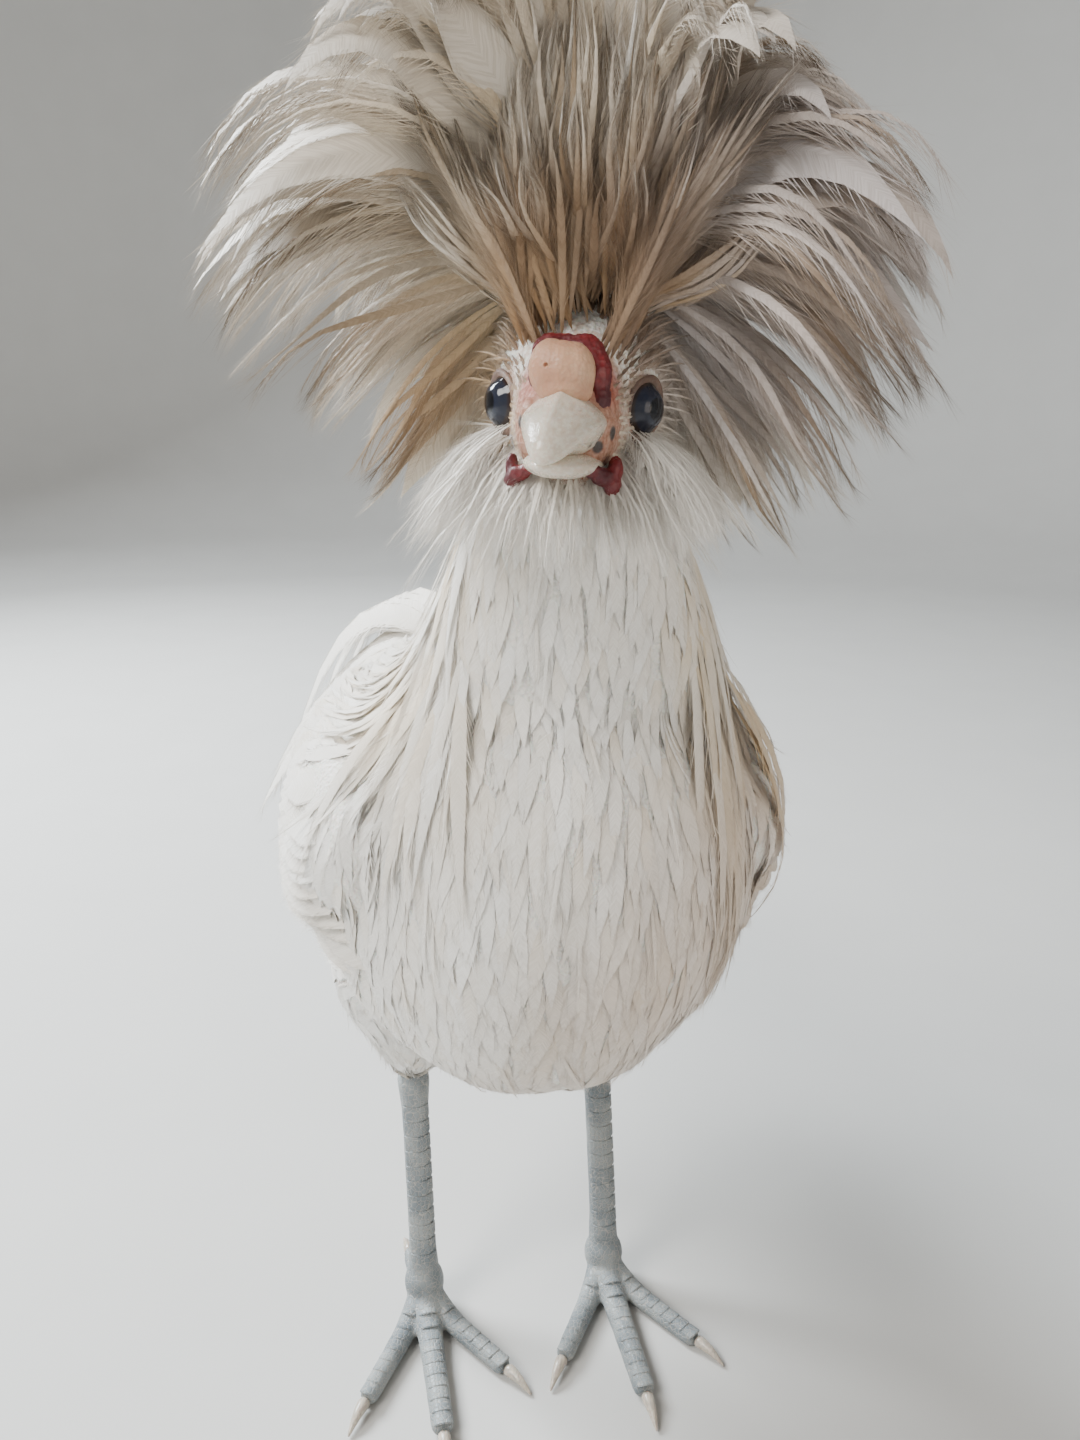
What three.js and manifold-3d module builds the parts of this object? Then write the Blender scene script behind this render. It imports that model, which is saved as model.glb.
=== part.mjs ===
// A life-size standing polish crested cockerel, white, in millimetres, +Z up, facing -Y.
// The body, the neck and the head are lofts of oval sections. The crest, the hackles, the wings
// and the tail are built of separate feathers, each a flat pointed blade with a ridge for its shaft.
import * as THREE from "three";
import { mergeVertices } from "three/addons/utils/BufferGeometryUtils.js";
import Module from "manifold-3d";

const wasm = await Module();
wasm.setup();

// Driving dimensions
const GAP = 0.3; // between pieces that touch
const BODY_TURN = 12; // degrees, the tail to the bird's right
const HEAD_PLACE = [11.3, -85, 311.5]; // midway between the eyes
const HEAD_TURN = -7; // degrees, the bill to the bird's right
const HEAD_ROLL = 2.5; // degrees, the left eye a little lower
const BODY = { rings: 12, sides: 20 }; // how finely each form is divided
const NECK_MESH = { rings: 8, sides: 18 };
const HEAD_MESH = { rings: 8, sides: 14 };
const BILL_MESH = { upper: 7, upperSides: 12, lower: 4, lowerSides: 10 };
const FAR = 500; // beyond the whole bird

// The trunk under its feathers, from rump to breast, in the body's own frame.
const TRUNK = [
  { y: 108, half: 17, top: 222, low: 184 },
  { y: 96, half: 32, top: 229, low: 168 },
  { y: 72, half: 50, top: 240, low: 144 },
  { y: 38, half: 65, top: 251, low: 122 },
  { y: 0, half: 69, top: 260, low: 114 },
  { y: -32, half: 65, top: 267, low: 118 },
  { y: -56, half: 54, top: 263, low: 134 },
  { y: -72, half: 38, top: 251, low: 156 },
  { y: -79, half: 20, top: 234, low: 178 },
];
const RUMP_TIP = [0, 114, 203];
const BREAST_TIP = [0, -82, 206];

// The neck, from its root in the trunk to the head, in the model's frame.
const NECK = [
  { z: 205, x: 5, y: -22, half: 40, front: 40, back: 34 },
  { z: 235, x: 8, y: -34, half: 47, front: 40, back: 38 },
  { z: 254, x: 12, y: -46, half: 39, front: 33, back: 35 },
  { z: 273, x: 12.5, y: -55, half: 31, front: 27, back: 31 },
  { z: 291, x: 12, y: -61, half: 26, front: 25, back: 27 },
  { z: 306, x: 11.5, y: -66, half: 20, front: 18, back: 20 },
];
const NECK_ROOT = [5, -20, 195];
const NECK_TIP = [11.5, -68, 314];
const NECK_TOP_CUT = 288; // where the head node starts
const NECK_LOW_CUT = 244; // where the neck node starts, at its front

// The head, from nape to bill root, in the head's frame, whose origin is between the eyes.
const HEAD = [
  { y: 30, half: 10, top: 10, low: -10 },
  { y: 24, half: 16, top: 18, low: -18 },
  { y: 10, half: 18, top: 24, low: -21 },
  { y: -2, half: 16, top: 20, low: -19 },
  { y: -11, half: 12, top: 11, low: -15.5 },
  { y: -17, half: 9, top: 5.5, low: -13.5 },
];
const NAPE_TIP = [0, 34, 0];
const FACE_TIP = [0, -20, -5];

const EYE = { side: 10.6, y: -0.5, z: 0, radius: 6.2 };
const LID = { side: 14.8, ring: 4.9, tube: 1.3 };
const LID_OPENING = { side: 17.5, radius: [4, 4.5, 4.5] }; // lays the eye bare
const UPPER_BILL = [
  { y: -16, half: 8.2, top: 4.0, low: -6.4 },
  { y: -22, half: 7.4, top: 2.6, low: -6.8 },
  { y: -28, half: 5.7, top: 0, low: -7.4 },
  { y: -33, half: 3.7, top: -3.4, low: -8.8 },
  { y: -36, half: 1.8, top: -7, low: -10.6 },
];
const UPPER_BILL_ENDS = [[0, -12, -1.5], [0, -37, -10]];
const LOWER_BILL = [
  { y: -15, half: 7.6, top: -7.0, low: -13 },
  { y: -22, half: 6.4, top: -7.6, low: -12.8 },
  { y: -28, half: 4.5, top: -8.3, low: -12.2 },
  { y: -32, half: 2.6, top: -9.6, low: -11.8 },
];
const LOWER_BILL_ENDS = [[0, -11, -10.5], [0, -33.5, -10.8]];
const KNOB = { side: 3.1, y: -17.5, z: 6.6, radius: [4.9, 5.6, 5.8] };
const NOSTRIL = { side: 7.4, y: -20, z: 3.4, radius: [1.6, 1.9, 0.9] };
const COMB = { side: 3.8, y: -12.5, z: 12.4, radius: [4.8, 3.4, 5.4], lean: 12, splay: 24 };
const WATTLE = { side: 8.2, y: -17, z: -14.5, radius: [2.6, 4.6, 4.8] };

// Feathers, each a flat pointed blade
const BLADE = 1.8; // thickness along the shaft
const LONG = [0.35, 0.85, 1, 0.66]; // width along a feather, as shares of its widest
const POINTED = [0.45, 1, 0.8];
const BROAD = [0.5, 1, 1];
const SEED = 7;

// The crest: tiers of feathers that spring from a knob on the skull, arch over and fall.
// reach and rise place the tips from the middle of the knob, and open is the angle that the
// tier leaves free on each side of straight ahead, in degrees.
const CREST_KNOB = { place: [0, 14, 24], radius: [25, 23, 20] };
const CREST_TIERS = [
  { count: 7, open: 84, reach: 44, rise: -44, width: 18 },
  { count: 7, open: 68, reach: 60, rise: -31, width: 20 },
  { count: 9, open: 56, reach: 71, rise: -11, width: 19 },
  { count: 9, open: 40, reach: 70, rise: 12, width: 19 },
  { count: 7, open: 22, reach: 57, rise: 33, width: 20 },
  { count: 6, open: 10, reach: 36, rise: 48, width: 17 },
  { count: 3, open: 0, reach: 12, rise: 56, width: 15 },
];
// Front feathers lie on the knob's front, from one height round it to another, in degrees.
const CREST_FRONT = [
  { count: 5, spread: 70, heights: [-14, 22, 50], reach: [0.62, 1.4, 1.95], width: 12 },
  { count: 4, spread: 50, heights: [16, 46, 70], reach: [0.62, 1.5, 2.4], width: 15 },
];
const CREST_LEFT = { fall: 7, shorter: 0.05 }; // how the bird's left side differs
const CREST_ROOT = { out: 15, up: 13 }; // where the feathers leave the knob
const CREST_ARCH = { out: 0.72, up: 0.46 }; // the bend, as shares of the reach
const CREST_ABOVE_NECK = 6.5; // room for the hackles' roots
const FACE_ROOM = { place: [0, -21, 0], radius: [14, 13, 14] }; // kept free of the crest
const RUFF_ROOM = { place: [0, 6, -19], radius: [36, 33, 20] };

// Beard and muffs: two rings of short locks round the throat and the cheeks, in the head's
// frame. out and low are how far a ring's roots, bends and tips stand from the head's middle.
const RUFF_MIDDLE = [0, 3, 0];
const RUFF_TIERS = [
  { first: 0, out: [12, 25, 31], low: [-11, -17, -31] },
  { first: 50, out: [12, 26, 33], low: [-5, -9, -21] },
];
const RUFF = { beard: 42, last: 130, step: 22, width: 14, edge: 8 }; // degrees, and millimetres
const BEARD_CORE = { place: [0, -9, -20], radius: [15, 13, 8] };
const MUFF_CORE = { side: 17, y: 7, z: -12, radius: [7, 13, 8] };

// Hackles, draped from the neck over the shoulders. from and to are places between the two
// hearts, one in the upper neck and one in the shoulders, that a tier's feathers run past.
const HACKLE_HEARTS = [[12, -60, 283], [8, -20, 212]];
const HACKLE_TIERS = [
  { count: 8, open: 62, from: 0, to: 0.52, lift: 5.2 },
  { count: 9, open: 60, from: 0.26, to: 0.8, lift: 5 },
  { count: 9, open: 62, from: 0.52, to: 1.04, lift: 2.4 },
];
const HACKLE_LEAN = { start: 84, side: 88, back: 40 }; // degrees from straight up
const HACKLE_WIDTH = 16;
const LAID = { root: -2, above: 1.6 }; // how deep a laid feather starts, and how high it lies

// Wings: each lies on the flank like a long shield, in the body's frame
const WING = { place: [44, 24, 197], radius: [34, 84, 37], tilt: -9, depth: 5 };
const WING_LIFT = { root: -1.6, tip: 3.8 }; // how far a wing feather stands off the wing
const WING_CLEARANCE = 5.3; // from the wing's core to what passes over it
const WING_ROWS = [
  { count: 3, y: -42, top: 216, low: 182, length: 36, width: 18 },
  { count: 3, y: -20, top: 222, low: 176, length: 38, width: 21 },
  { count: 4, y: 2, top: 225, low: 172, length: 42, width: 19 },
  { count: 5, y: 28, top: 220, low: 174, length: 64, width: 15 },
];
const PRIMARIES = { count: 2, y: 30, top: 168, low: 159, length: 80, width: 11, climb: 12 };

// Tail, from a root in the rump, in the body's frame
const TAIL_ROOT = [-2, 96, 208];
const TAIL_TURN = 9; // degrees, more to the bird's right than the body
const TAIL_TIERS = [
  { pairs: 4, yaw: 7, step: 11, length: 118, shorter: 6, rise: 30, fall: 8, droop: 15, high: 6 },
  { pairs: 2, yaw: 14, step: 22, length: 62, shorter: 5, rise: 24, fall: 2, droop: 8, high: 13 },
];
const TAIL_WIDTH = 27;
const TAIL_BEND = 0.58; // where a tail feather bends, as a share of its length
const TAIL_CORE = { place: [0, 6, 0], radius: [18, 28, 15] };
const SICKLES = { yaws: [22, 34], length: 131, rise: 58, fall: 76, width: 18 };
const SADDLE = { heart: [0, 58, 196], count: 3, first: 11, step: 24, width: 20 };

const LEG_SIDE = 33; // from the middle to each leg
const HOCK = { y: 36, z: 88 };
const ANKLE = { y: 20, z: 13, radius: [7.6, 7.6, 9.5] };
const THIGH = [
  { out: 0, y: 8, z: 168, radius: 30 },
  { out: 1.6, y: 14, z: 142, radius: 29 },
  { out: 1, y: 22, z: 122, radius: 22 },
  { out: 0, y: 29, z: 104, radius: 14 },
  { out: 0, y: HOCK.y, z: HOCK.z, radius: 8 },
];
const SHANK_RADIUS = 5.4;
const SHANK_SCUTES = 7;
const TOES = [
  { name: "inner", turn: -34, length: 42, radius: 4.0 },
  { name: "middle", turn: 0, length: 54, radius: 4.5 },
  { name: "outer", turn: 32, length: 44, radius: 4.0 },
  { name: "hind", turn: 172, length: 24, radius: 3.4 },
];
const CLAW = { length: 12, radius: 2.3 };

// Frames
const rad = THREE.MathUtils.degToRad;
const vec = (a) => new THREE.Vector3(...a);
const world = new THREE.Matrix4();
const body = new THREE.Matrix4().makeRotationZ(rad(BODY_TURN));
const head = new THREE.Matrix4()
  .makeTranslation(...HEAD_PLACE)
  .multiply(new THREE.Matrix4().makeRotationZ(rad(HEAD_TURN)))
  .multiply(new THREE.Matrix4().makeRotationY(rad(HEAD_ROLL)));

// Solids
function solid(geometry, frame = world) {
  const bare = new THREE.BufferGeometry();
  bare.setAttribute("position", geometry.getAttribute("position"));
  bare.setIndex(geometry.getIndex());
  const merged = mergeVertices(bare.applyMatrix4(frame), 1e-3);
  return new wasm.Manifold(
    new wasm.Mesh({
      numProp: 3,
      vertProperties: merged.attributes.position.array,
      triVerts: new Uint32Array(merged.index.array),
    }),
  );
}

function join(pieces) {
  return pieces.reduce((whole, piece) => whole.add(piece));
}

function cut(piece, ...others) {
  return others.reduce((rest, other) => rest.subtract(other), piece);
}

// The largest closed surface of a solid.
function largest(piece) {
  return piece.decompose().sort((a, b) => b.volume() - a.volume())[0];
}

function geometryOf(piece) {
  const mesh = piece.getMesh();
  const geometry = new THREE.BufferGeometry();
  const position = new THREE.BufferAttribute(mesh.vertProperties, mesh.numProp);
  geometry.setAttribute("position", position);
  geometry.setIndex(new THREE.BufferAttribute(mesh.triVerts, 1));
  return geometry;
}

// A closed surface through rings of points, with a point at each end. Its two halves are
// split into triangles alike, so that the faces of a thin blade never cross.
function loft(rings, first, last) {
  const n = rings[0].length;
  const points = [first, ...rings.flat(), last];
  const end = points.length - 1;
  const faces = [];
  for (let i = 0; i < n; i++) {
    const j = (i + 1) % n;
    faces.push(0, 1 + j, 1 + i);
    faces.push(end, end - n + i, end - n + j);
    for (let k = 0; k < rings.length - 1; k++) {
      const [a, b] = [1 + k * n + i, 1 + k * n + j];
      if (i < n / 2) faces.push(a, b, b + n, a, b + n, a + n);
      else faces.push(a, b, a + n, b, b + n, a + n);
    }
  }
  return new THREE.BufferGeometry().setFromPoints(points).setIndex(faces);
}

// An oval ring in the plane of two axes, with its own reach up and down.
function oval(centre, right, up, half, above, below, sides) {
  return Array.from({ length: sides }, (_, i) => {
    const angle = (2 * Math.PI * i) / sides;
    const rise = Math.sin(angle) * (Math.sin(angle) > 0 ? above : below);
    return centre
      .clone()
      .addScaledVector(right, half * Math.cos(angle))
      .addScaledVector(up, rise);
  });
}

// Named sizes at any place between the stations of a table, on a smooth curve.
function between(table, t) {
  const place = t * (table.length - 1);
  const i = Math.min(Math.floor(place), table.length - 2);
  const f = place - i;
  const near = (k) => table[THREE.MathUtils.clamp(k, 0, table.length - 1)];
  const blend = (key) => {
    const [a, b, c, d] = [near(i - 1), near(i), near(i + 1), near(i + 2)].map((s) => s[key]);
    const bend = 2 * a - 5 * b + 4 * c - d + f * (3 * (b - c) + d - a);
    return b + 0.5 * f * (c - a + f * bend);
  };
  return Object.fromEntries(Object.keys(table[0]).map((key) => [key, blend(key)]));
}

const RIGHT = new THREE.Vector3(1, 0, 0);
const BACK = new THREE.Vector3(0, 1, 0);
const UP = new THREE.Vector3(0, 0, 1);

// A form whose sections stand upright, such as the trunk, the head or the bill.
function uprightForm(table, first, last, rings, sides, grow = 0) {
  const sections = Array.from({ length: rings }, (_, k) => {
    const s = between(table, k / (rings - 1));
    const middle = (s.top + s.low) / 2;
    const reach = (s.top - s.low) / 2 + grow;
    const centre = new THREE.Vector3(0, s.y, middle);
    return oval(centre, RIGHT, UP, s.half + grow, reach, reach, sides);
  });
  const start = vec(first).addScaledVector(BACK, grow);
  const stop = vec(last).addScaledVector(BACK, -grow);
  return loft(sections, start, stop);
}

function neckForm(grow = 0) {
  const { rings, sides } = NECK_MESH;
  const sections = Array.from({ length: rings }, (_, k) => {
    const s = between(NECK, k / (rings - 1));
    const centre = new THREE.Vector3(s.x, s.y, s.z);
    return oval(centre, RIGHT, BACK, s.half + grow, s.back + grow, s.front + grow, sides);
  });
  return solid(loft(sections, vec(NECK_ROOT), vec(NECK_TIP)));
}

function trunkForm(grow = 0) {
  return solid(uprightForm(TRUNK, RUMP_TIP, BREAST_TIP, BODY.rings, BODY.sides, grow), body);
}

function headForm(grow = 0) {
  const { rings, sides } = HEAD_MESH;
  return solid(uprightForm(HEAD, NAPE_TIP, FACE_TIP, rings, sides, grow), head);
}

// A ball or an egg shape, turned by angles in degrees about its own axes.
function egg(place, radius, frame, turn = [0, 0, 0], grow = 0, across = 14, down = 9) {
  const shape = new THREE.SphereGeometry(1, across, down);
  shape.scale(...radius.map((r) => r + grow));
  shape.rotateX(rad(turn[0]));
  shape.rotateY(rad(turn[1]));
  shape.rotateZ(rad(turn[2]));
  shape.translate(...place);
  return solid(shape, frame);
}

// A block between two corners.
function block(low, high, frame = world) {
  const [a, b] = [vec(low), vec(high)];
  const size = b.clone().sub(a);
  const shape = new THREE.BoxGeometry(...size.toArray());
  shape.translate(...a.add(b).multiplyScalar(0.5).toArray());
  return solid(shape, frame);
}

// A round limb along a line of points with a radius at each.
function limb(points, radii, sides, frame = world) {
  const curve = points.map(vec);
  const whole = curve[curve.length - 1].clone().sub(curve[0]).normalize();
  const level = Math.abs(whole.z) < 0.7;
  const rings = curve.map((p, k) => {
    const along = curve[Math.min(k + 1, curve.length - 1)]
      .clone()
      .sub(curve[Math.max(k - 1, 0)])
      .normalize();
    const across = new THREE.Vector3().crossVectors(level ? UP : BACK, along).normalize();
    const third = new THREE.Vector3().crossVectors(along, across);
    return oval(p, across, third, radii[k], radii[k], radii[k], sides);
  });
  return solid(loft(rings, curve[0], curve[curve.length - 1]), frame);
}

// One feather: a flat blade along a line of points. face is the way its broad side looks.
function feather(line, face, width, frame = world, shape = POINTED) {
  const rings = shape.map((share, k) => {
    const along = line[k + 1].clone().sub(line[Math.max(k - 1, 0)]).normalize();
    const out = face.clone().addScaledVector(along, -face.dot(along)).normalize();
    const across = new THREE.Vector3().crossVectors(out, along);
    return oval(line[k], across, out, (share * width) / 2, BLADE / 2, BLADE / 2, 4);
  });
  const root = line[0].clone().lerp(line[1], -0.08);
  return solid(loft(rings, root, line[shape.length]), frame);
}

// A feather that leaves its root, bends and ends at a tip.
function archedFeather(root, bend, tip, face, width, frame, shape = POINTED) {
  const line = new THREE.QuadraticBezierCurve3(root, bend, tip).getPoints(shape.length);
  return feather(line, face, width, frame, shape);
}

// A repeatable random number between -1 and 1.
let draw = SEED;
function jitter() {
  draw = (draw * 16807) % 2147483647;
  return (draw / 2147483647) * 2 - 1;
}

// The bird's nose is at azimuth 0, its left at 90 degrees.
const heading = (azimuth) => new THREE.Vector3(Math.sin(azimuth), -Math.cos(azimuth), 0);

// Sides: the bird's left is +X.
const SIDES = [
  { name: "left", sign: 1 },
  { name: "right", sign: -1 },
];

// Materials
const paint = (colour, roughness) =>
  new THREE.MeshStandardMaterial({ color: colour, roughness, metalness: 0 });
const plumage = paint(0xece6da, 0.8);
const crestPlumage = paint(0xd9cdb8, 0.8);
const faceSkin = paint(0xc98a78, 0.7);
const combSkin = paint(0xb3232b, 0.55);
const knobSkin = paint(0xd9a48a, 0.6);
const horn = paint(0xe6ddcb, 0.4);
const eyeball = paint(0x1c1a20, 0.1);
const shankSkin = paint(0x8c939b, 0.6);
const clawHorn = paint(0xc9c2b4, 0.45);

const bird = new THREE.Group();
function add(name, piece, material) {
  const mesh = new THREE.Mesh(geometryOf(largest(piece)), material);
  mesh.name = name;
  bird.add(mesh);
  return mesh;
}

// Head, with a socket and a lid round each eye
const eyeAt = (sign, grow = 0) => {
  const place = [sign * EYE.side, EYE.y, EYE.z];
  return egg(place, [EYE.radius, EYE.radius, EYE.radius], head, [0, 0, 0], grow, 10, 7);
};
const lidAt = (sign, grow = 0) => {
  const ring = new THREE.TorusGeometry(LID.ring, LID.tube + grow, 5, 10);
  ring.rotateY(rad(90));
  ring.translate(sign * LID.side, EYE.y, EYE.z);
  return solid(ring, head);
};
const upperBillForm = (grow = 0) =>
  solid(
    uprightForm(UPPER_BILL, ...UPPER_BILL_ENDS, BILL_MESH.upper, BILL_MESH.upperSides, grow),
    head,
  );
const lowerBillForm = (grow = 0) =>
  solid(
    uprightForm(LOWER_BILL, ...LOWER_BILL_ENDS, BILL_MESH.lower, BILL_MESH.lowerSides, grow),
    head,
  );
const knobForm = (grow = 0) =>
  join(
    SIDES.map(({ sign }) =>
      egg([sign * KNOB.side, KNOB.y, KNOB.z], KNOB.radius, head, [0, 0, 0], grow, 9, 6),
    ),
  );
const combForm = (grow = 0) =>
  join(
    SIDES.map(({ sign }) =>
      egg(
        [sign * COMB.side, COMB.y, COMB.z],
        COMB.radius,
        head,
        [COMB.lean, sign * COMB.splay, 0],
        grow,
        8,
        5,
      ),
    ),
  );
const nostrilForm = (sign) =>
  egg([sign * NOSTRIL.side, NOSTRIL.y, NOSTRIL.z], NOSTRIL.radius, head, [0, 0, 0], 0, 6, 4);
const wattleForm = (sign, grow = 0) =>
  egg([sign * WATTLE.side, WATTLE.y, WATTLE.z], WATTLE.radius, head, [0, 0, 0], grow, 8, 6);

const billParts = upperBillForm(GAP).add(lowerBillForm(GAP)).add(knobForm(GAP));
const belowHead = block([-FAR, -FAR, -FAR], [FAR, FAR, NECK_TOP_CUT + GAP]);
const openingAt = (sign) => {
  const place = [sign * LID_OPENING.side, EYE.y, EYE.z];
  return egg(place, LID_OPENING.radius, head, [0, 0, 0], 0, 10, 7);
};
const headShape = cut(
  join([headForm(), neckForm(), ...SIDES.map(({ sign }) => lidAt(sign))]),
  belowHead,
  ...SIDES.flatMap(({ sign }) => [eyeAt(sign, GAP), openingAt(sign)]),
);
const nostrils = SIDES.map(({ sign }) => nostrilForm(sign));
add("head", headShape, faceSkin);
SIDES.forEach(({ name, sign }) => add(`eye_${name}`, eyeAt(sign), eyeball));
add("bill_upper", cut(upperBillForm(), headForm(GAP), knobForm(GAP)), horn);
add("bill_lower", cut(lowerBillForm(), headForm(GAP), upperBillForm(GAP)), horn);
add("nasal_knob", cut(knobForm(), headForm(GAP), ...nostrils), knobSkin);
add("comb", cut(combForm(), headForm(GAP), knobForm(GAP)), combSkin);
SIDES.forEach(({ name, sign }) =>
  add(`wattle_${name}`, cut(wattleForm(sign), headForm(GAP), billParts), combSkin),
);

// Beard and muffs
function ruffLock(azimuth, tier) {
  const out = heading(azimuth);
  const [root, bend, tip] = tier.out.map((r, k) => {
    const rough = 1 + 0.05 * k * jitter();
    return vec(RUFF_MIDDLE).addScaledVector(out, r * rough).addScaledVector(UP, tier.low[k] * rough);
  });
  const face = out.clone().addScaledVector(UP, 0.5);
  return archedFeather(root, bend, tip, face, RUFF.width, head);
}
// Locks from one azimuth to another, with small balls at their roots that hold them together.
function ruffLocks(sign, from, to) {
  return RUFF_TIERS.flatMap((tier, row) => {
    const locks = [];
    const start = Math.max(from, tier.first) + (row * RUFF.step) / 2;
    for (let angle = start; angle <= to; angle += RUFF.step) {
      locks.push(ruffLock(rad(sign * angle), tier));
    }
    return locks;
  });
}
const headRoom = headForm(GAP).add(neckForm(GAP));
const wattleRoom = SIDES.map(({ sign }) => wattleForm(sign, GAP));
const eyeRoom = (sign) => lidAt(sign, GAP).add(eyeAt(sign, GAP));
const beardCore = egg(BEARD_CORE.place, BEARD_CORE.radius, head, [0, 0, 0], 0, 12, 6);
// All that lies further round one side than the edge of the beard.
const cheekRoom = (sign, grow) => {
  const wedge = new THREE.BoxGeometry(FAR, FAR, FAR);
  wedge.translate(FAR / 2 + grow, 0, 0);
  wedge.rotateZ(rad(sign * (RUFF.beard + 90) - 90));
  wedge.translate(...RUFF_MIDDLE);
  return solid(wedge, head);
};
const beardLocks = [
  ...ruffLocks(1, 0, RUFF.beard - RUFF.edge),
  ...ruffLocks(-1, RUFF.step, RUFF.beard - RUFF.edge),
];
const cheeks = SIDES.map(({ sign }) => cheekRoom(sign, -GAP / 2));
const beardShape = join([beardCore, ...beardLocks]);
add("beard", cut(beardShape, headRoom, billParts, ...wattleRoom, ...cheeks), plumage);
SIDES.forEach(({ name, sign }) => {
  const place = [sign * MUFF_CORE.side, MUFF_CORE.y, MUFF_CORE.z];
  const core = egg(place, MUFF_CORE.radius, head, [0, 0, 0], 0, 9, 6);
  const muff = join([core, ...ruffLocks(sign, RUFF.beard + RUFF.edge, RUFF.last)]);
  const cheek = muff.intersect(cheekRoom(sign, GAP / 2));
  add(`muff_${name}`, cut(cheek, headRoom, eyeRoom(sign), ...wattleRoom), plumage);
});

// Crest, tier over tier round the knob, with short feathers that part over the forehead
function crestFeather(azimuth, reach, rise, width) {
  const out = heading(azimuth);
  const side = new THREE.Vector3().crossVectors(UP, out);
  const left = Math.max(out.x, 0);
  const far = reach * (1 + 0.05 * jitter() - CREST_LEFT.shorter * left);
  const high = rise - (rise < 40 ? CREST_LEFT.fall * left : 0) + 4 * jitter();
  const place = (r, z, drift) =>
    vec(CREST_KNOB.place)
      .addScaledVector(out, r)
      .addScaledVector(UP, z)
      .addScaledVector(side, drift);
  const start = Math.atan2(high + 0.55 * far, 0.8 * far);
  const sway = 6 * jitter();
  const root = place(CREST_ROOT.out * Math.cos(start), CREST_ROOT.up * Math.sin(start), 0);
  const bend = place(CREST_ARCH.out * far, high + CREST_ARCH.up * far, 0.3 * sway);
  const tip = place(far, high, sway);
  const face = bend.clone().sub(vec(CREST_KNOB.place)).normalize();
  face.addScaledVector(side, 0.45 * jitter()).addScaledVector(BACK, out.y < 0.3 ? -0.8 : 0);
  return archedFeather(root, bend, tip, face, width, head, LONG);
}
const crestFeathers = CREST_TIERS.flatMap((tier, row) =>
  Array.from({ length: tier.count }, (_, k) => {
    const share = (k + 0.5 + 0.25 * (row % 2)) / (tier.count + 0.25);
    const azimuth = rad(tier.open + (360 - 2 * tier.open) * share);
    return crestFeather(azimuth, tier.reach, tier.rise, tier.width);
  }),
);
const frontFeathers = CREST_FRONT.flatMap((tier) =>
  Array.from({ length: tier.count }, (_, k) => {
    const azimuth = rad(2 * tier.spread * (k / (tier.count - 1) - 0.5)) + 0.05 * jitter();
    const line = tier.heights.map((height, j) => {
      const lean = rad(height + 5 * jitter());
      const out = heading(azimuth * (1 + 0.12 * j)).multiplyScalar(Math.cos(lean));
      out.addScaledVector(UP, Math.sin(lean)).multiply(vec(CREST_KNOB.radius));
      return vec(CREST_KNOB.place).addScaledVector(out, tier.reach[j]);
    });
    const face = line[1].clone().sub(vec(CREST_KNOB.place));
    return archedFeather(...line, face, tier.width, head);
  }),
);
const crestCore = egg(CREST_KNOB.place, CREST_KNOB.radius, head, [0, 0, 0], 0, 12, 8);
const crestShape = cut(
  join([crestCore, ...crestFeathers, ...frontFeathers]),
  headForm(GAP),
  neckForm(CREST_ABOVE_NECK),
  ...SIDES.map(({ sign }) => eyeRoom(sign)),
  combForm(GAP),
  egg(FACE_ROOM.place, FACE_ROOM.radius, head, [0, 0, 0], 0, 10, 6),
  egg(RUFF_ROOM.place, RUFF_ROOM.radius, head, [0, 0, 0], GAP, 14, 8),
);
add("crest", crestShape, crestPlumage);

// Trunk, with the root of the neck
const neckRoot = neckForm().subtract(block([-FAR, -FAR, NECK_LOW_CUT - GAP], [FAR, FAR, FAR]));

// Feathers that lie on a form: a ray from outside finds its surface.
const caster = new THREE.Raycaster();
function meshOf(piece) {
  return new THREE.Mesh(geometryOf(piece), new THREE.MeshBasicMaterial());
}
function surfacePoint(mesh, target, out, lift) {
  caster.set(target.clone().addScaledVector(out, FAR), out.clone().negate());
  const [hit] = caster.intersectObject(mesh);
  return hit?.point.addScaledVector(out, lift);
}

// Each wing has a core that follows the flank, rows of coverts, then the long secondaries, and
// the primaries below them.
const wingCore = (sign, grow = 0) => {
  const [x, y, z] = WING.place;
  const outline = egg([sign * x, y, z], WING.radius, body, [WING.tilt, 0, 0], grow, 14, 8);
  return trunkForm(WING.depth + grow).intersect(outline);
};
const flank = meshOf(trunkForm(WING.depth));
function wingFeather(sign, y, z, length, climb, width) {
  const out = new THREE.Vector3(sign, 0, 0).transformDirection(body);
  const line = [];
  for (let k = 0; k <= BROAD.length; k++) {
    const share = k / BROAD.length;
    const lift = WING_LIFT.root + (WING_LIFT.tip - WING_LIFT.root) * share;
    const target = new THREE.Vector3(0, y + length * share, z + climb * share);
    const point = surfacePoint(flank, target.applyMatrix4(body), out, lift);
    line.push(point ?? line[k - 1].clone().multiplyScalar(2).sub(line[k - 2]));
  }
  return feather(line, out.clone().addScaledVector(UP, 0.25), width, world, BROAD);
}
const wingRow = (sign, row) =>
  Array.from({ length: row.count }, (_, k) => {
    const share = k / (row.count - 1);
    const z = row.top + (row.low - row.top) * share;
    const slant = row.y + 8 * Math.sin(Math.PI * share) + 1.5 * jitter();
    const length = row.length * (1 + 0.05 * jitter());
    const climb = row.climb ?? -4 - (z - WING.place[2]) * 0.3;
    return wingFeather(sign, slant, z, length, climb, row.width);
  });
const thighForm = (sign, grow = 0) =>
  limb(
    THIGH.map(({ out, y, z }) => [sign * (LEG_SIDE + out), y, z]),
    THIGH.map(({ radius }) => radius + grow),
    14,
    body,
  );
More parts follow.
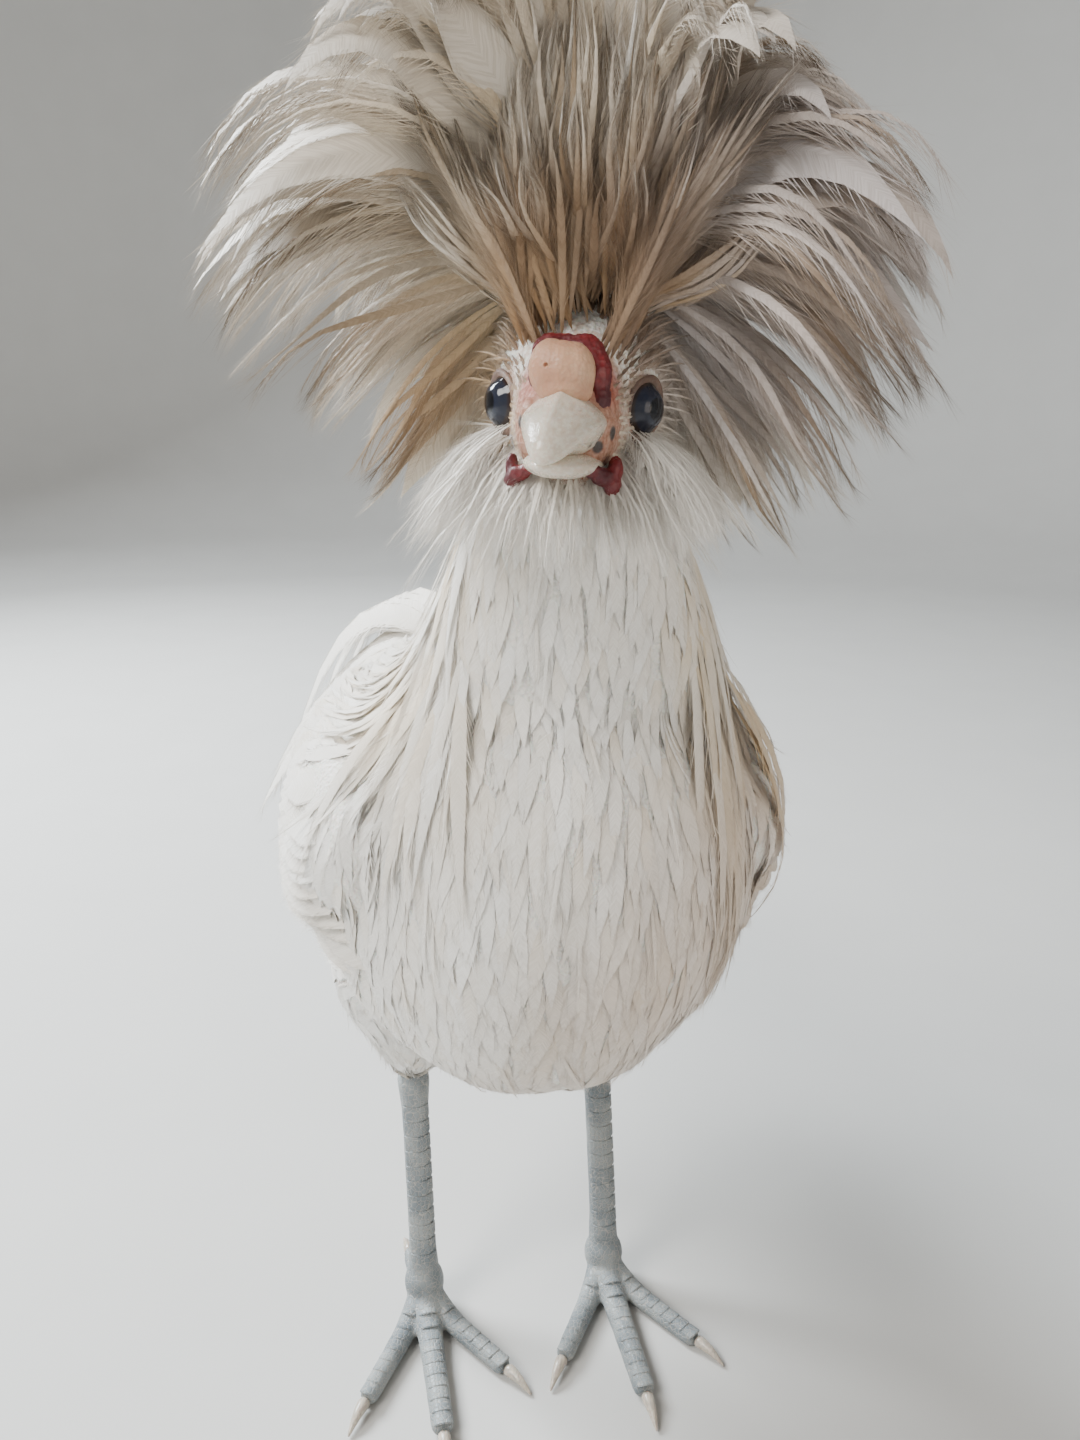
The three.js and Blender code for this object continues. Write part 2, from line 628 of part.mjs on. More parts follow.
SIDES.forEach(({ name, sign }) => {
  const feathers = [...WING_ROWS, PRIMARIES].flatMap((row) => wingRow(sign, row));
  const wing = join([wingCore(sign), ...feathers]);
  add(`wing_${name}`, cut(wing, trunkForm(GAP), neckForm(GAP)), plumage);
  add(`thigh_${name}`, cut(thighForm(sign), trunkForm(GAP), wingCore(sign, GAP)), plumage);
});

// Tail: a low fan of broad feathers that arch and droop, coverts over their roots, and two
// long sickles on each side.
const tailFrame = body
  .clone()
  .multiply(new THREE.Matrix4().makeTranslation(...TAIL_ROOT))
  .multiply(new THREE.Matrix4().makeRotationZ(rad(TAIL_TURN)));
function tailFeather(yaw, length, rise, fall, high, width) {
  const along = new THREE.Vector3(Math.sin(rad(yaw)), Math.cos(rad(yaw)), 0);
  const root = new THREE.Vector3(0, -8, high).addScaledVector(along, 3);
  const bend = root.clone().addScaledVector(along, TAIL_BEND * length).addScaledVector(UP, rise);
  const tip = root.clone().addScaledVector(along, length).addScaledVector(UP, -fall - high);
  const face = new THREE.Vector3(1.3 * Math.sign(yaw), -0.3, 0.8 - 0.01 * Math.abs(yaw));
  return archedFeather(root, bend, tip, face, width, tailFrame, BROAD);
}
const tailFeathers = SIDES.flatMap(({ sign }) => [
  ...TAIL_TIERS.flatMap((t) =>
    Array.from({ length: t.pairs }, (_, k) => {
      const yaw = sign * (t.yaw + t.step * k) + jitter();
      const length = t.length - t.shorter * k + 2 * jitter();
      const fall = t.fall + t.droop * k;
      return tailFeather(yaw, length, t.rise - k, fall, t.high - 2 * k, TAIL_WIDTH);
    }),
  ),
  ...SICKLES.yaws.map((yaw) =>
    tailFeather(sign * yaw, SICKLES.length, SICKLES.rise, SICKLES.fall, 12, SICKLES.width),
  ),
]);
const tailCore = egg(TAIL_CORE.place, TAIL_CORE.radius, tailFrame, [0, 0, 0], 0, 12, 8);
const tailShape = join([tailCore, ...tailFeathers]);
const wingRoom = SIDES.map(({ sign }) => wingCore(sign, WING_CLEARANCE));
add("tail", cut(tailShape, trunkForm(GAP), ...wingRoom), plumage);

// Hackles, from the neck over the shoulders and the wings' front edge
const shoulders = meshOf(join([trunkForm(), neckForm(), ...wingRoom]));
const hearts = HACKLE_HEARTS.map(vec);
function hackle(azimuth, tier) {
  const behind = ((1 - Math.cos(azimuth)) / 2) ** 2;
  const stop = HACKLE_LEAN.side + (HACKLE_LEAN.back - HACKLE_LEAN.side) * behind;
  const drift = 0.05 * jitter();
  const line = Array.from({ length: POINTED.length + 1 }, (_, k) => {
    const share = k / POINTED.length;
    const place = tier.from + (tier.to - tier.from) * share;
    const lean = rad(HACKLE_LEAN.start + (stop - HACKLE_LEAN.start) * place);
    const lift = k === 0 ? LAID.root : LAID.above + (tier.lift - LAID.above) * share;
    const out = heading(azimuth + drift * share)
      .multiplyScalar(Math.sin(lean))
      .addScaledVector(UP, Math.cos(lean));
    return surfacePoint(shoulders, hearts[0].clone().lerp(hearts[1], place), out, lift);
  });
  const face = line[2].clone().sub(hearts[1]).normalize();
  return feather(line, face, HACKLE_WIDTH);
}
const hackles = HACKLE_TIERS.flatMap((tier, row) =>
  Array.from({ length: tier.count }, (_, k) => {
    const share = (k + 0.5 * (row % 2)) / (tier.count - 0.5);
    return hackle(rad(tier.open + (360 - 2 * tier.open) * share), tier);
  }),
);
const aboveNeck = block([-FAR, -FAR, NECK_TOP_CUT], [FAR, FAR, FAR]);
const aboveTrunk = block([-FAR, -FAR, NECK_LOW_CUT], [FAR, FAR, FAR]);
const neckShape = cut(
  join([neckForm(), ...hackles]),
  aboveNeck,
  headForm(GAP),
  trunkForm(GAP),
  neckForm(GAP).subtract(aboveTrunk),
);
add("neck", neckShape, plumage);

// Saddle feathers, from the back over the root of the tail
const trunkSkin = meshOf(trunkForm());
const saddle = SIDES.flatMap(({ sign }) =>
  Array.from({ length: SADDLE.count }, (_, k) => {
    const azimuth = Math.PI - sign * rad(SADDLE.first + SADDLE.step * k);
    const line = Array.from({ length: POINTED.length + 1 }, (_, j) => {
      const lean = rad(8 + 3 * k + (38 + 4 * k) * (j / POINTED.length));
      const out = heading(azimuth).multiplyScalar(Math.sin(lean)).addScaledVector(UP, Math.cos(lean));
      const lift = j === 0 ? LAID.root : LAID.above + 0.5 * j;
      const target = vec(SADDLE.heart).applyMatrix4(body);
      return surfacePoint(trunkSkin, target, out.transformDirection(body), lift);
    });
    const face = line[2].clone().sub(vec(SADDLE.heart).applyMatrix4(body)).normalize();
    return cut(feather(line, face, SADDLE.width), ...wingRoom);
  }),
);
add("torso", cut(join([trunkForm().add(neckRoot), ...saddle]), headForm(GAP)), plumage);

// Shanks and feet
const toeLine = (toe, sign, from, to) => {
  const turn = rad(toe.turn * sign);
  return [from, to].map((r) => [
    sign * LEG_SIDE + Math.sin(turn) * r,
    ANKLE.y - Math.cos(turn) * r,
  ]);
};
const shankLine = (x) => [
  [x, HOCK.y, HOCK.z - GAP],
  [x, HOCK.y - 2, HOCK.z - 8],
  [x, (HOCK.y + ANKLE.y) / 2, 50],
  [x, ANKLE.y, ANKLE.z + 6],
];
const shankForm = (x, grow) => {
  const line = new THREE.CatmullRomCurve3(shankLine(x).map(vec)).getPoints(2 * SHANK_SCUTES);
  const radii = line.map((_, k) => SHANK_RADIUS * (k % 2 ? 1.08 : 0.96) + (k < 5 ? 1.2 : 0) + grow);
  return limb(line.map((p) => p.toArray()), radii, 7, body);
};
SIDES.forEach(({ name, sign }) => {
  const x = sign * LEG_SIDE;
  add(`shank_${name}`, cut(shankForm(x, 0), thighForm(sign, GAP)), shankSkin);
  const floorRoom = block([-FAR, -FAR, -FAR], [FAR, FAR, 0]);
  const toes = TOES.map((toe) => {
    const [[x0, y0], [x1, y1]] = toeLine(toe, sign, 0, toe.length);
    const joints = Math.round(toe.length / 9);
    const line = Array.from({ length: joints + 1 }, (_, k) => k / joints);
    const r = toe.radius;
    const height = (f) => Math.max(r * 0.84, 9 - 16 * f);
    return limb(
      line.map((f) => [x0 + (x1 - x0) * f, y0 + (y1 - y0) * f, height(f)]),
      line.map((f, k) => (r + 1.4 * (1 - f) ** 3) * (k % 2 ? 1.05 : 0.95) * (1 - 0.12 * f)),
      6,
      body,
    );
  });
  const ankle = egg([x, ANKLE.y, ANKLE.z - 2], ANKLE.radius, body, [0, 0, 0], 0, 8, 6);
  add(`foot_${name}`, cut(join([ankle, ...toes]), floorRoom, shankForm(x, GAP)), shankSkin);
  TOES.forEach((toe) => {
    const [[x0, y0], [x1, y1]] = toeLine(toe, sign, toe.length + GAP, toe.length + CLAW.length);
    const place = (f, z) => [x0 + (x1 - x0) * f, y0 + (y1 - y0) * f, z];
    const claw = limb(
      [place(0, 3.1), place(0.4, 3.3), place(0.8, 1.9), place(1, 0.6)],
      [CLAW.radius, CLAW.radius * 0.8, CLAW.radius * 0.45, 0.4],
      6,
      body,
    );
    add(`claw_${name}_${toe.name}`, claw, clawHorn);
  });
});

// The origin is on the floor, under the middle of the box round the bird.
const room = new THREE.Box3().setFromObject(bird);
const middle = room.getCenter(new THREE.Vector3());
bird.position.set(-middle.x, -middle.y, 0);

export default bird;
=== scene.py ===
# %% [markdown]
# # A white polish crested cockerel, life size
# The bird stands on a pale floor as in a museum case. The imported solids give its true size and
# the place of every part. This lesson dresses them: one skin for all the flesh, a finer bill,
# comb, eyes and feet, and a coat of some thousands of feathers, each a small closed mesh.

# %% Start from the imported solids
import math
import bpy
import numpy as np
from mathutils import Matrix, Vector, noise as smooth_noise
from mathutils.bvhtree import BVHTree


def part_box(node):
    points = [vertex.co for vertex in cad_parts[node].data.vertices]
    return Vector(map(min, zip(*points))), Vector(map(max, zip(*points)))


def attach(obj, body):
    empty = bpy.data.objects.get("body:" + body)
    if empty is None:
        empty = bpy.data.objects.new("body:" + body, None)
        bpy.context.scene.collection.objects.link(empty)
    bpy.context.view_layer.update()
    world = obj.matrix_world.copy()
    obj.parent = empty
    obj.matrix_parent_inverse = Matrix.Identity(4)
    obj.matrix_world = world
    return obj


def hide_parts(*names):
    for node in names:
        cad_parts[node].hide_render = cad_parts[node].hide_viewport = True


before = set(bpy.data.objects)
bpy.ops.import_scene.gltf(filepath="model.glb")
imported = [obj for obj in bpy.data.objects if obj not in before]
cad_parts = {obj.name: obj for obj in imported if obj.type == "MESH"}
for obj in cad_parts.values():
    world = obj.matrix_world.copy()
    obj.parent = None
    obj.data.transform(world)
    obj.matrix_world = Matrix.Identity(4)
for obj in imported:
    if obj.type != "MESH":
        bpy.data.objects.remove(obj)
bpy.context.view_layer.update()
print("packed nodes:", len(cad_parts))

# %% [markdown]
# ## Where the head and the body stand
# The trunk is turned a little to the bird's right and the head a little the other way, so each
# has its own frame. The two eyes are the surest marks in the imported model, so their middle
# tells where both frames are. All tables below are in millimetres in one of these frames.

# %% Frames of the head and the body
MM = 0.001
BODY_TURN = 12
HEAD_TURN = -7
HEAD_ROLL = 2.5
HEAD_PLACE = Vector((11.3, -85, 311.5)) * MM
EYE = {"side": 10.6, "y": -0.5, "z": 0, "radius": 6.2}
EYE_FORWARD = 35  # degrees that an eye's axis leans to the bill
SIDES = (("left", 1), ("right", -1))  # the bird's left is +x


def turned(degrees, axis):
    return Matrix.Rotation(math.radians(degrees), 4, axis)


def on_eye_axis(sign, out):
    """A place on an eye's axis, in the head's frame, so many millimetres from its middle."""
    lean = math.radians(EYE_FORWARD)
    return (
        sign * (EYE["side"] + out * math.cos(lean)), EYE["y"] - out * math.sin(lean), EYE["z"]
    )


eye_corners = [corner for side in ("left", "right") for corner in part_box(f"eye_{side}")]
eye_middle = sum(eye_corners, Vector()) / len(eye_corners)
head_turn = turned(HEAD_TURN, "Z") @ turned(HEAD_ROLL, "Y")
head = Matrix.Translation(eye_middle) @ head_turn @ Matrix.Translation((0, -EYE["y"] * MM, 0))
origin = head.translation - HEAD_PLACE
model = Matrix.Translation(origin)
body = model @ turned(BODY_TURN, "Z")
print("origin of the tables in the packed frame, mm:", [round(v / MM, 2) for v in origin])

# %% [markdown]
# ## Growing a form ring by ring
# The trunk, the neck, the head, the bill and each toe are long forms whose cross-section is an
# oval. By hand one starts from a filled circle, then extrudes, moves and scales it for each
# next section. Subdivision rounds the cage. This way was chosen because the same table of
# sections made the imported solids, so the skin lies evenly under them.

# %% Helpers: select nothing, apply a modifier, join, carve
def ramp(value, zero, one):
    """0 at one end of a range and 1 at the other, and level beyond both."""
    return np.clip((value - zero) / (one - zero), 0, 1)


def fresh_start():
    """Nothing selected, object mode."""
    if bpy.context.mode != "OBJECT":
        bpy.ops.object.mode_set(mode="OBJECT")
    bpy.ops.object.select_all(action="DESELECT")


def modify(piece, kind, **settings):
    """Adds a modifier with these settings and applies it."""
    fresh_start()
    bpy.context.view_layer.objects.active = piece
    piece.select_set(True)
    bpy.ops.object.modifier_add(type=kind)
    step = piece.modifiers[-1]
    for key, value in settings.items():
        setattr(step, key, value)
    bpy.ops.object.modifier_apply(modifier=step.name)
    return piece


def joined(pieces):
    """All pieces joined into the first of them."""
    fresh_start()
    for piece in pieces:
        piece.select_set(True)
    bpy.context.view_layer.objects.active = pieces[0]
    bpy.ops.object.join()
    return pieces[0]


def carved(piece, tool, operation="DIFFERENCE"):
    """Cuts a tool out of a piece, or keeps what both share, and takes the tool away."""
    modify(piece, "BOOLEAN", operation=operation, object=tool, solver="EXACT")
    bpy.data.objects.remove(tool)
    return piece


def copied(piece, name):
    """A copy with its own mesh."""
    copy = bpy.data.objects.new(name, piece.data.copy())
    bpy.context.scene.collection.objects.link(copy)
    return copy


def finished(piece, finish, slot, *nodes):
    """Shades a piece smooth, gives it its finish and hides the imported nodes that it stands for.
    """
    fresh_start()
    piece.select_set(True)
    bpy.context.view_layer.objects.active = piece
    bpy.ops.object.shade_smooth()
    piece.data.materials.clear()
    piece.data.materials.append(finish)
    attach(piece, "root")
    if nodes:
        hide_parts(*nodes)
    print(f"{piece.name}: {len(piece.data.polygons)} faces")
    return piece


# %% Helpers: a ring form and an egg shape
def ring_form(name, rings, sides, place, level=False, rounds=2):
    """A form through oval sections (x, y, z, half across, half deep), upright or level."""
    fresh_start()
    rings = [np.array(ring, float) * MM for ring in rings]
    first = rings[0]
    turn = (0, 0, 0) if level else (math.radians(90), 0, 0)
    bpy.ops.mesh.primitive_circle_add(
        vertices=sides, radius=1, fill_type="NGON", location=first[:3], rotation=turn
    )
    piece = bpy.context.active_object
    piece.name = name
    bpy.ops.object.transform_apply(location=True, rotation=True, scale=True)
    bpy.ops.object.mode_set(mode="EDIT")

    def scale(across, deep, centre):
        size = (across, deep, 1) if level else (across, 1, deep)
        bpy.ops.transform.resize(value=size, center_override=tuple(centre))

    scale(first[3], first[4], first[:3])
    for before, after in zip(rings, rings[1:]):
        step = tuple(after[:3] - before[:3])
        bpy.ops.mesh.extrude_region_move(TRANSFORM_OT_translate={"value": step})
        scale(after[3] / before[3], after[4] / before[4], after[:3])
    bpy.ops.mesh.select_all(action="SELECT")
    bpy.ops.mesh.normals_make_consistent(inside=False)
    bpy.ops.object.mode_set(mode="OBJECT")
    if rounds:
        modify(piece, "SUBSURF", levels=rounds, render_levels=rounds)
    piece.data.transform(place)
    return piece


def ball_form(name, centre, radius, place, tilt=0, across=24, down=16):
    """An egg shape: a ball scaled in edit mode."""
    fresh_start()
    bpy.ops.mesh.primitive_uv_sphere_add(segments=across, ring_count=down, radius=MM)
    piece = bpy.context.active_object
    piece.name = name
    bpy.ops.object.mode_set(mode="EDIT")
    bpy.ops.transform.resize(value=radius, center_override=(0, 0, 0))
    bpy.ops.object.mode_set(mode="OBJECT")
    piece.data.transform(place @ Matrix.Translation(Vector(centre) * MM) @ turned(tilt, "X"))
    return piece


# %% [markdown]
# ## The skin
# Under the feathers a bird is slim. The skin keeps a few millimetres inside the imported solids,
# which leaves room for the coat. Its parts are grown one by one, joined, and remeshed into one
# closed surface, so that no seam shows where the neck meets the head or the thigh the trunk.

# %% Sections of the flesh
UNDER = 3.2  # how deep the skin lies under the coat
# The trunk from rump to breast: y, half width, top, low.
TRUNK = [
    (108, 17, 222, 184), (96, 32, 229, 168), (72, 50, 240, 144), (38, 65, 251, 122),
    (0, 69, 260, 114), (-32, 65, 267, 118), (-56, 54, 263, 134), (-72, 38, 251, 156),
    (-79, 20, 234, 178),
]
# The neck from below: z, x, y, half width, front, back.
NECK = [
    (205, 5, -22, 40, 40, 34), (235, 8, -34, 47, 40, 38), (254, 12, -46, 39, 33, 35),
    (273, 12.5, -55, 31, 27, 31), (291, 12, -61, 26, 25, 27), (306, 11.5, -66, 20, 18, 20),
]
# The head from behind, in its own frame: y, half width, top, low.
HEAD = [
    (30, 10, 10, -10), (24, 16, 18, -18), (10, 17.5, 24, -21), (-1, 14.5, 20, -19),
    (-7, 10.8, 14.5, -17), (-12, 9.4, 10, -15), (-17, 8.2, 5.5, -13.5),
]
# A thigh from above: x, y, z, radius.
THIGH = [
    (33, 8, 168, 30), (34.6, 14, 142, 29), (34, 22, 122, 22), (33, 29, 104, 14),
    (33, 36, 88, 8),
]
WING_PLACE = (44, 24, 197)
WING_RADIUS = (34, 84, 37)
WING_TILT = -9
WING_PAD = 2.6  # how far the skin stands out under a folded wing
CREST_KNOB = Vector((0, 14, 24))
CREST_RADIUS = Vector((25, 23, 20))


def upright_rings(table, grow):
    return [
        (0, y, (top + low) / 2, half + grow, (top - low) / 2 + grow)
        for y, half, top, low in table
    ]


def trunk_form(name, grow):
    rings = upright_rings(TRUNK, grow)
    rump, breast = (0, 113, 203, 5, 7), (0, -81.5, 206, 8, 10)
    return ring_form(name, [rump, *rings, breast], 20, body)


# %% Grow the parts of the skin
parts = [trunk_form("trunk", -UNDER)]
neck_rings = [
    (x, y + (back - front) / 2, z, half - UNDER, (front + back) / 2 - UNDER)
    for z, x, y, half, front, back in NECK
]
neck_rings = [(5, -20, 195, 34, 32), *neck_rings, (11.5, -68, 314, 14, 13)]
parts.append(ring_form("neck", neck_rings, 18, model, level=True))
head_rings = [(0, 33, 0, 5, 5), *upright_rings(HEAD, 0.4), (0, -19.4, -4.5, 6, 7)]
skull = ring_form("skull", head_rings, 16, head)
for sign in (1, -1):
    carved(skull, ball_form("socket", on_eye_axis(sign, 6.4), (5.6, 5.6, 5.4), head))
    thigh_rings = [(sign * x, y, z, r - UNDER, r - UNDER) for x, y, z, r in THIGH]
    parts.append(ring_form("thigh", thigh_rings, 14, body, level=True))
    pad = trunk_form("wing pad", WING_PAD)
    middle = (sign * WING_PLACE[0], *WING_PLACE[1:])
    shield = ball_form("shield", middle, WING_RADIUS, body, WING_TILT)
    parts.append(carved(pad, shield, "INTERSECT"))
parts = [skull, *parts, ball_form("crest base", CREST_KNOB, CREST_RADIUS * 0.62, head)]
print("parts of the skin:", len(parts))

# %% One skin
SKIN_VOXEL = 1.35 * MM
skin = joined(parts)
skin.name = "skin"
modify(skin, "REMESH", mode="VOXEL", voxel_size=SKIN_VOXEL, adaptivity=0)
modify(skin, "SMOOTH", factor=0.5, iterations=4)

# %% [markdown]
# ## Folds of the breast
# A full coat isn't an even egg: it lies in soft folds, with a shallow furrow down the middle of
# the breast. By hand one would pull them with a soft brush. Here each point of the skin moves
# along its normal by a slow noise, so the coat that grows on it shows the same folds.

# %% Raise the folds
FOLD_HEIGHT = 1.8
FOLD_SIZE = (16, 34, 50)  # across, deep and high
FURROW_DEPTH, FURROW_WIDTH = 1.6, 7


def plateau(value, low, high, soft):
    """1 between low and high, easing to 0 at both."""
    return ramp(value, low, low + soft) * ramp(value, high, high - soft)


def fold(x, y, z):
    """How far a fold stands out, in millimetres, at a place of the body's frame."""
    slow = Vector((x / FOLD_SIZE[0], y / FOLD_SIZE[1], z / FOLD_SIZE[2]))
    waves = FOLD_HEIGHT * smooth_noise.noise(slow)
    furrow = FURROW_DEPTH * math.exp(-(((x + 2) / FURROW_WIDTH) ** 2)) * plateau(z, 140, 222, 25)
    return waves * plateau(z, 110, 285, 25) - ramp(y, -30, -42) * furrow


to_body_frame = body.inverted()
folded = [v.co + v.normal * fold(*(to_body_frame @ v.co / MM)) * MM for v in skin.data.vertices]
skin.data.vertices.foreach_set("co", np.array(folded).ravel())
skin.data.update()
print("skin faces:", len(skin.data.polygons))

# %% [markdown]
# ## How feathers are drawn
# A feather is a shaft with barbs on both sides. Thousands of them are too many to shape by
# hand, so one flat feather of each kind is drawn once in its own measures: along the shaft
# from 0 to 1, across from -1 to 1, and up. Its blade is a closed, four-sided sliver, and loose
# barbs are thin closed wedges that leave the blade and point to the tip. Mesh code then bends
# copies along their own curves.

# %% A loose barb
def closed_strand(points, faces, line, hair, side):
    """A thin three-sided wedge from a root to a tip, each (along, across, up)."""
    root, end = len(points), len(points) + 3
    (along, across, up), tip = line
    points.append((along, across, up, 0.25))
    points.append((along + side * hair, across, up, -0.1))
    points.append((along - side * hair, across, up, -0.1))
    points.append((*tip, 0))
    faces.append((root, root + 2, root + 1))
    for i in range(3):
        faces.append((root + i, root + (i + 1) % 3, end))


# %% A flat feather
NARROWING = 0.72  # how much of the blade is gone near the tip, where barbs alone make the edge
FIRST_RING, LAST_RING = 0.04, 0.93
BARB_ROOT = 0.86  # how far across the blade a barb leaves it


def flat_feather(shape, rings, blade, barbs, run, stray, hair, seed, start=0.1):
    """One feather: points (along, across, up, thickness) and triangles."""
    rng = np.random.default_rng(seed)
    stops, widths = zip(*shape)
    points, faces = [(0, 0, 0, 0)], []

    def half_blade(s):
        return blade * (1 - NARROWING * ramp(s, 0.55, 0.95)) * np.interp(s, stops, widths)

    for s in np.linspace(FIRST_RING, LAST_RING, rings):
        w = half_blade(s)
        points += [(s, w, 0, 0), (s, 0, 0, 1), (s, -w, 0, 0), (s, 0, 0, -1)]
    points.append((LAST_RING + 0.05, 0, 0, 0))
    end = len(points) - 1
    for i in range(4):
        j = (i + 1) % 4
        faces += [(0, 1 + j, 1 + i), (end, end - 4 + i, end - 4 + j)]
        for k in range(rings - 1):
            a, b = 1 + 4 * k + i, 1 + 4 * k + j
            faces += [(a, b, b + 4), (a, b + 4, a + 4)]
    for k in range(barbs):
        for side in (1, -1):
            s = start + (1.0 - start) * (k + 0.8 * rng.random()) / barbs
            low = BARB_ROOT * half_blade(max(s - 0.3 * run, 0))
            far = min(s + run * (0.75 + 0.5 * rng.random()), 1.04 - 0.04 * rng.random())
            tip = np.interp(min(s + 0.5 * run, 1), stops, widths) * (1 + stray * rng.normal())
            tip = min(max(tip, 0.02), 1.5) * (1.0 if far < 0.98 else 0.45)
            rise = stray * rng.normal()
            line = [(s - 0.3 * run * (s > 0.2), side * low, 0), (far, side * tip, rise)]
            closed_strand(points, faces, line, hair, side)
    return np.array(points, float), np.array(faces, int)


# %% The kinds of feathers
def kinds_of(count, *args, **named):
    return [flat_feather(*args, seed=seed, **named) for seed in range(count)]


# Outlines: how wide a feather is, from root to tip.
CONTOUR = [(0, 0.25), (0.25, 0.75), (0.6, 1), (0.85, 0.8), (1, 0.3)]
POINTED = [(0, 0.3), (0.2, 0.8), (0.45, 1), (0.75, 0.7), (1, 0.05)]
LOOSE = [(0, 0.25), (0.3, 0.75), (0.6, 1), (0.85, 0.75), (1, 0.25)]
BROAD = [(0, 0.4), (0.3, 0.95), (0.6, 1), (0.85, 0.7), (1, 0.08)]
# Drawings of each kind, outline, rings, blade, barbs, run of a barb, stray, hair.
contour_kinds = kinds_of(6, CONTOUR, 5, 0.7, 16, 0.22, 0.2, 0.011, start=0.3)
down_kinds = kinds_of(6, LOOSE, 3, 0.4, 6, 0.32, 0.25, 0.02, start=0.2)
hackle_kinds = kinds_of(5, POINTED, 7, 0.5, 28, 0.12, 0.2, 0.004)
lace_kinds = kinds_of(8, POINTED, 8, 0.24, 40, 0.2, 0.3, 0.0032)
broad_kinds = kinds_of(6, BROAD, 9, 0.74, 44, 0.14, 0.14, 0.004)
fluff_kinds = kinds_of(6, LOOSE, 5, 0.09, 28, 0.3, 0.35, 0.0036)
wisp_kinds = kinds_of(6, LOOSE, 5, 0.26, 14, 0.26, 0.4, 0.007)
print("triangles a feather:", [len(k[0][1]) for k in (contour_kinds, lace_kinds, broad_kinds)])


# %% [markdown]
# ## Laying feathers along curves
# Each feather gets a root, a bend and a tip, which make a smooth curve, and a side to face. The
# points of its flat drawing are carried along that curve. Two attributes go with every point:
# barb holds its place across and along in millimetres, and the other how cream it is, how
# smoked, and how near the tip it is; on the face and the crest the smoked share also carries
# painted shade. The finish reads both. A map named OFBake gives each feather a small patch at
# its root's place on an unrolled skin. On the body the light should slide over the breast as
# over one soft surface, so there the feathers borrow most of the skin's normals.

# %% Carry flat feathers along curves
BAKE_PATCH = 0.003
SOFTNESS = 0.8  # how far the shading of the small body feathers follows the skin below


def unrolled(points):
    """Places on an unrolled skin: the trunk and legs in the lower half, the rest above."""
    p = np.array([body.inverted() @ Vector(q) for q in points]) / MM
    h = np.array([head.inverted() @ Vector(q) for q in points]) / MM
    high = (p[:, 2] > 262) | (h[:, 2] > -30) & (h[:, 1] < 60)
    trunk_u = np.arctan2(p[:, 0], p[:, 2] - 190) / (2 * np.pi) + 0.5
    trunk_v = (p[:, 1] + 110) / 360
    head_u = np.arctan2(h[:, 0], 12 - h[:, 1]) / (2 * np.pi) + 0.5
    head_v = (h[:, 2] + 60) / 150
    u = np.where(high, head_u, trunk_u)
    head_v, trunk_v = (0.46 * np.clip(v, 0, 1) for v in (head_v, trunk_v))
    v = np.where(high, 0.52 + head_v, 0.02 + trunk_v)
    return np.stack([0.01 + 0.97 * u, v], 1)


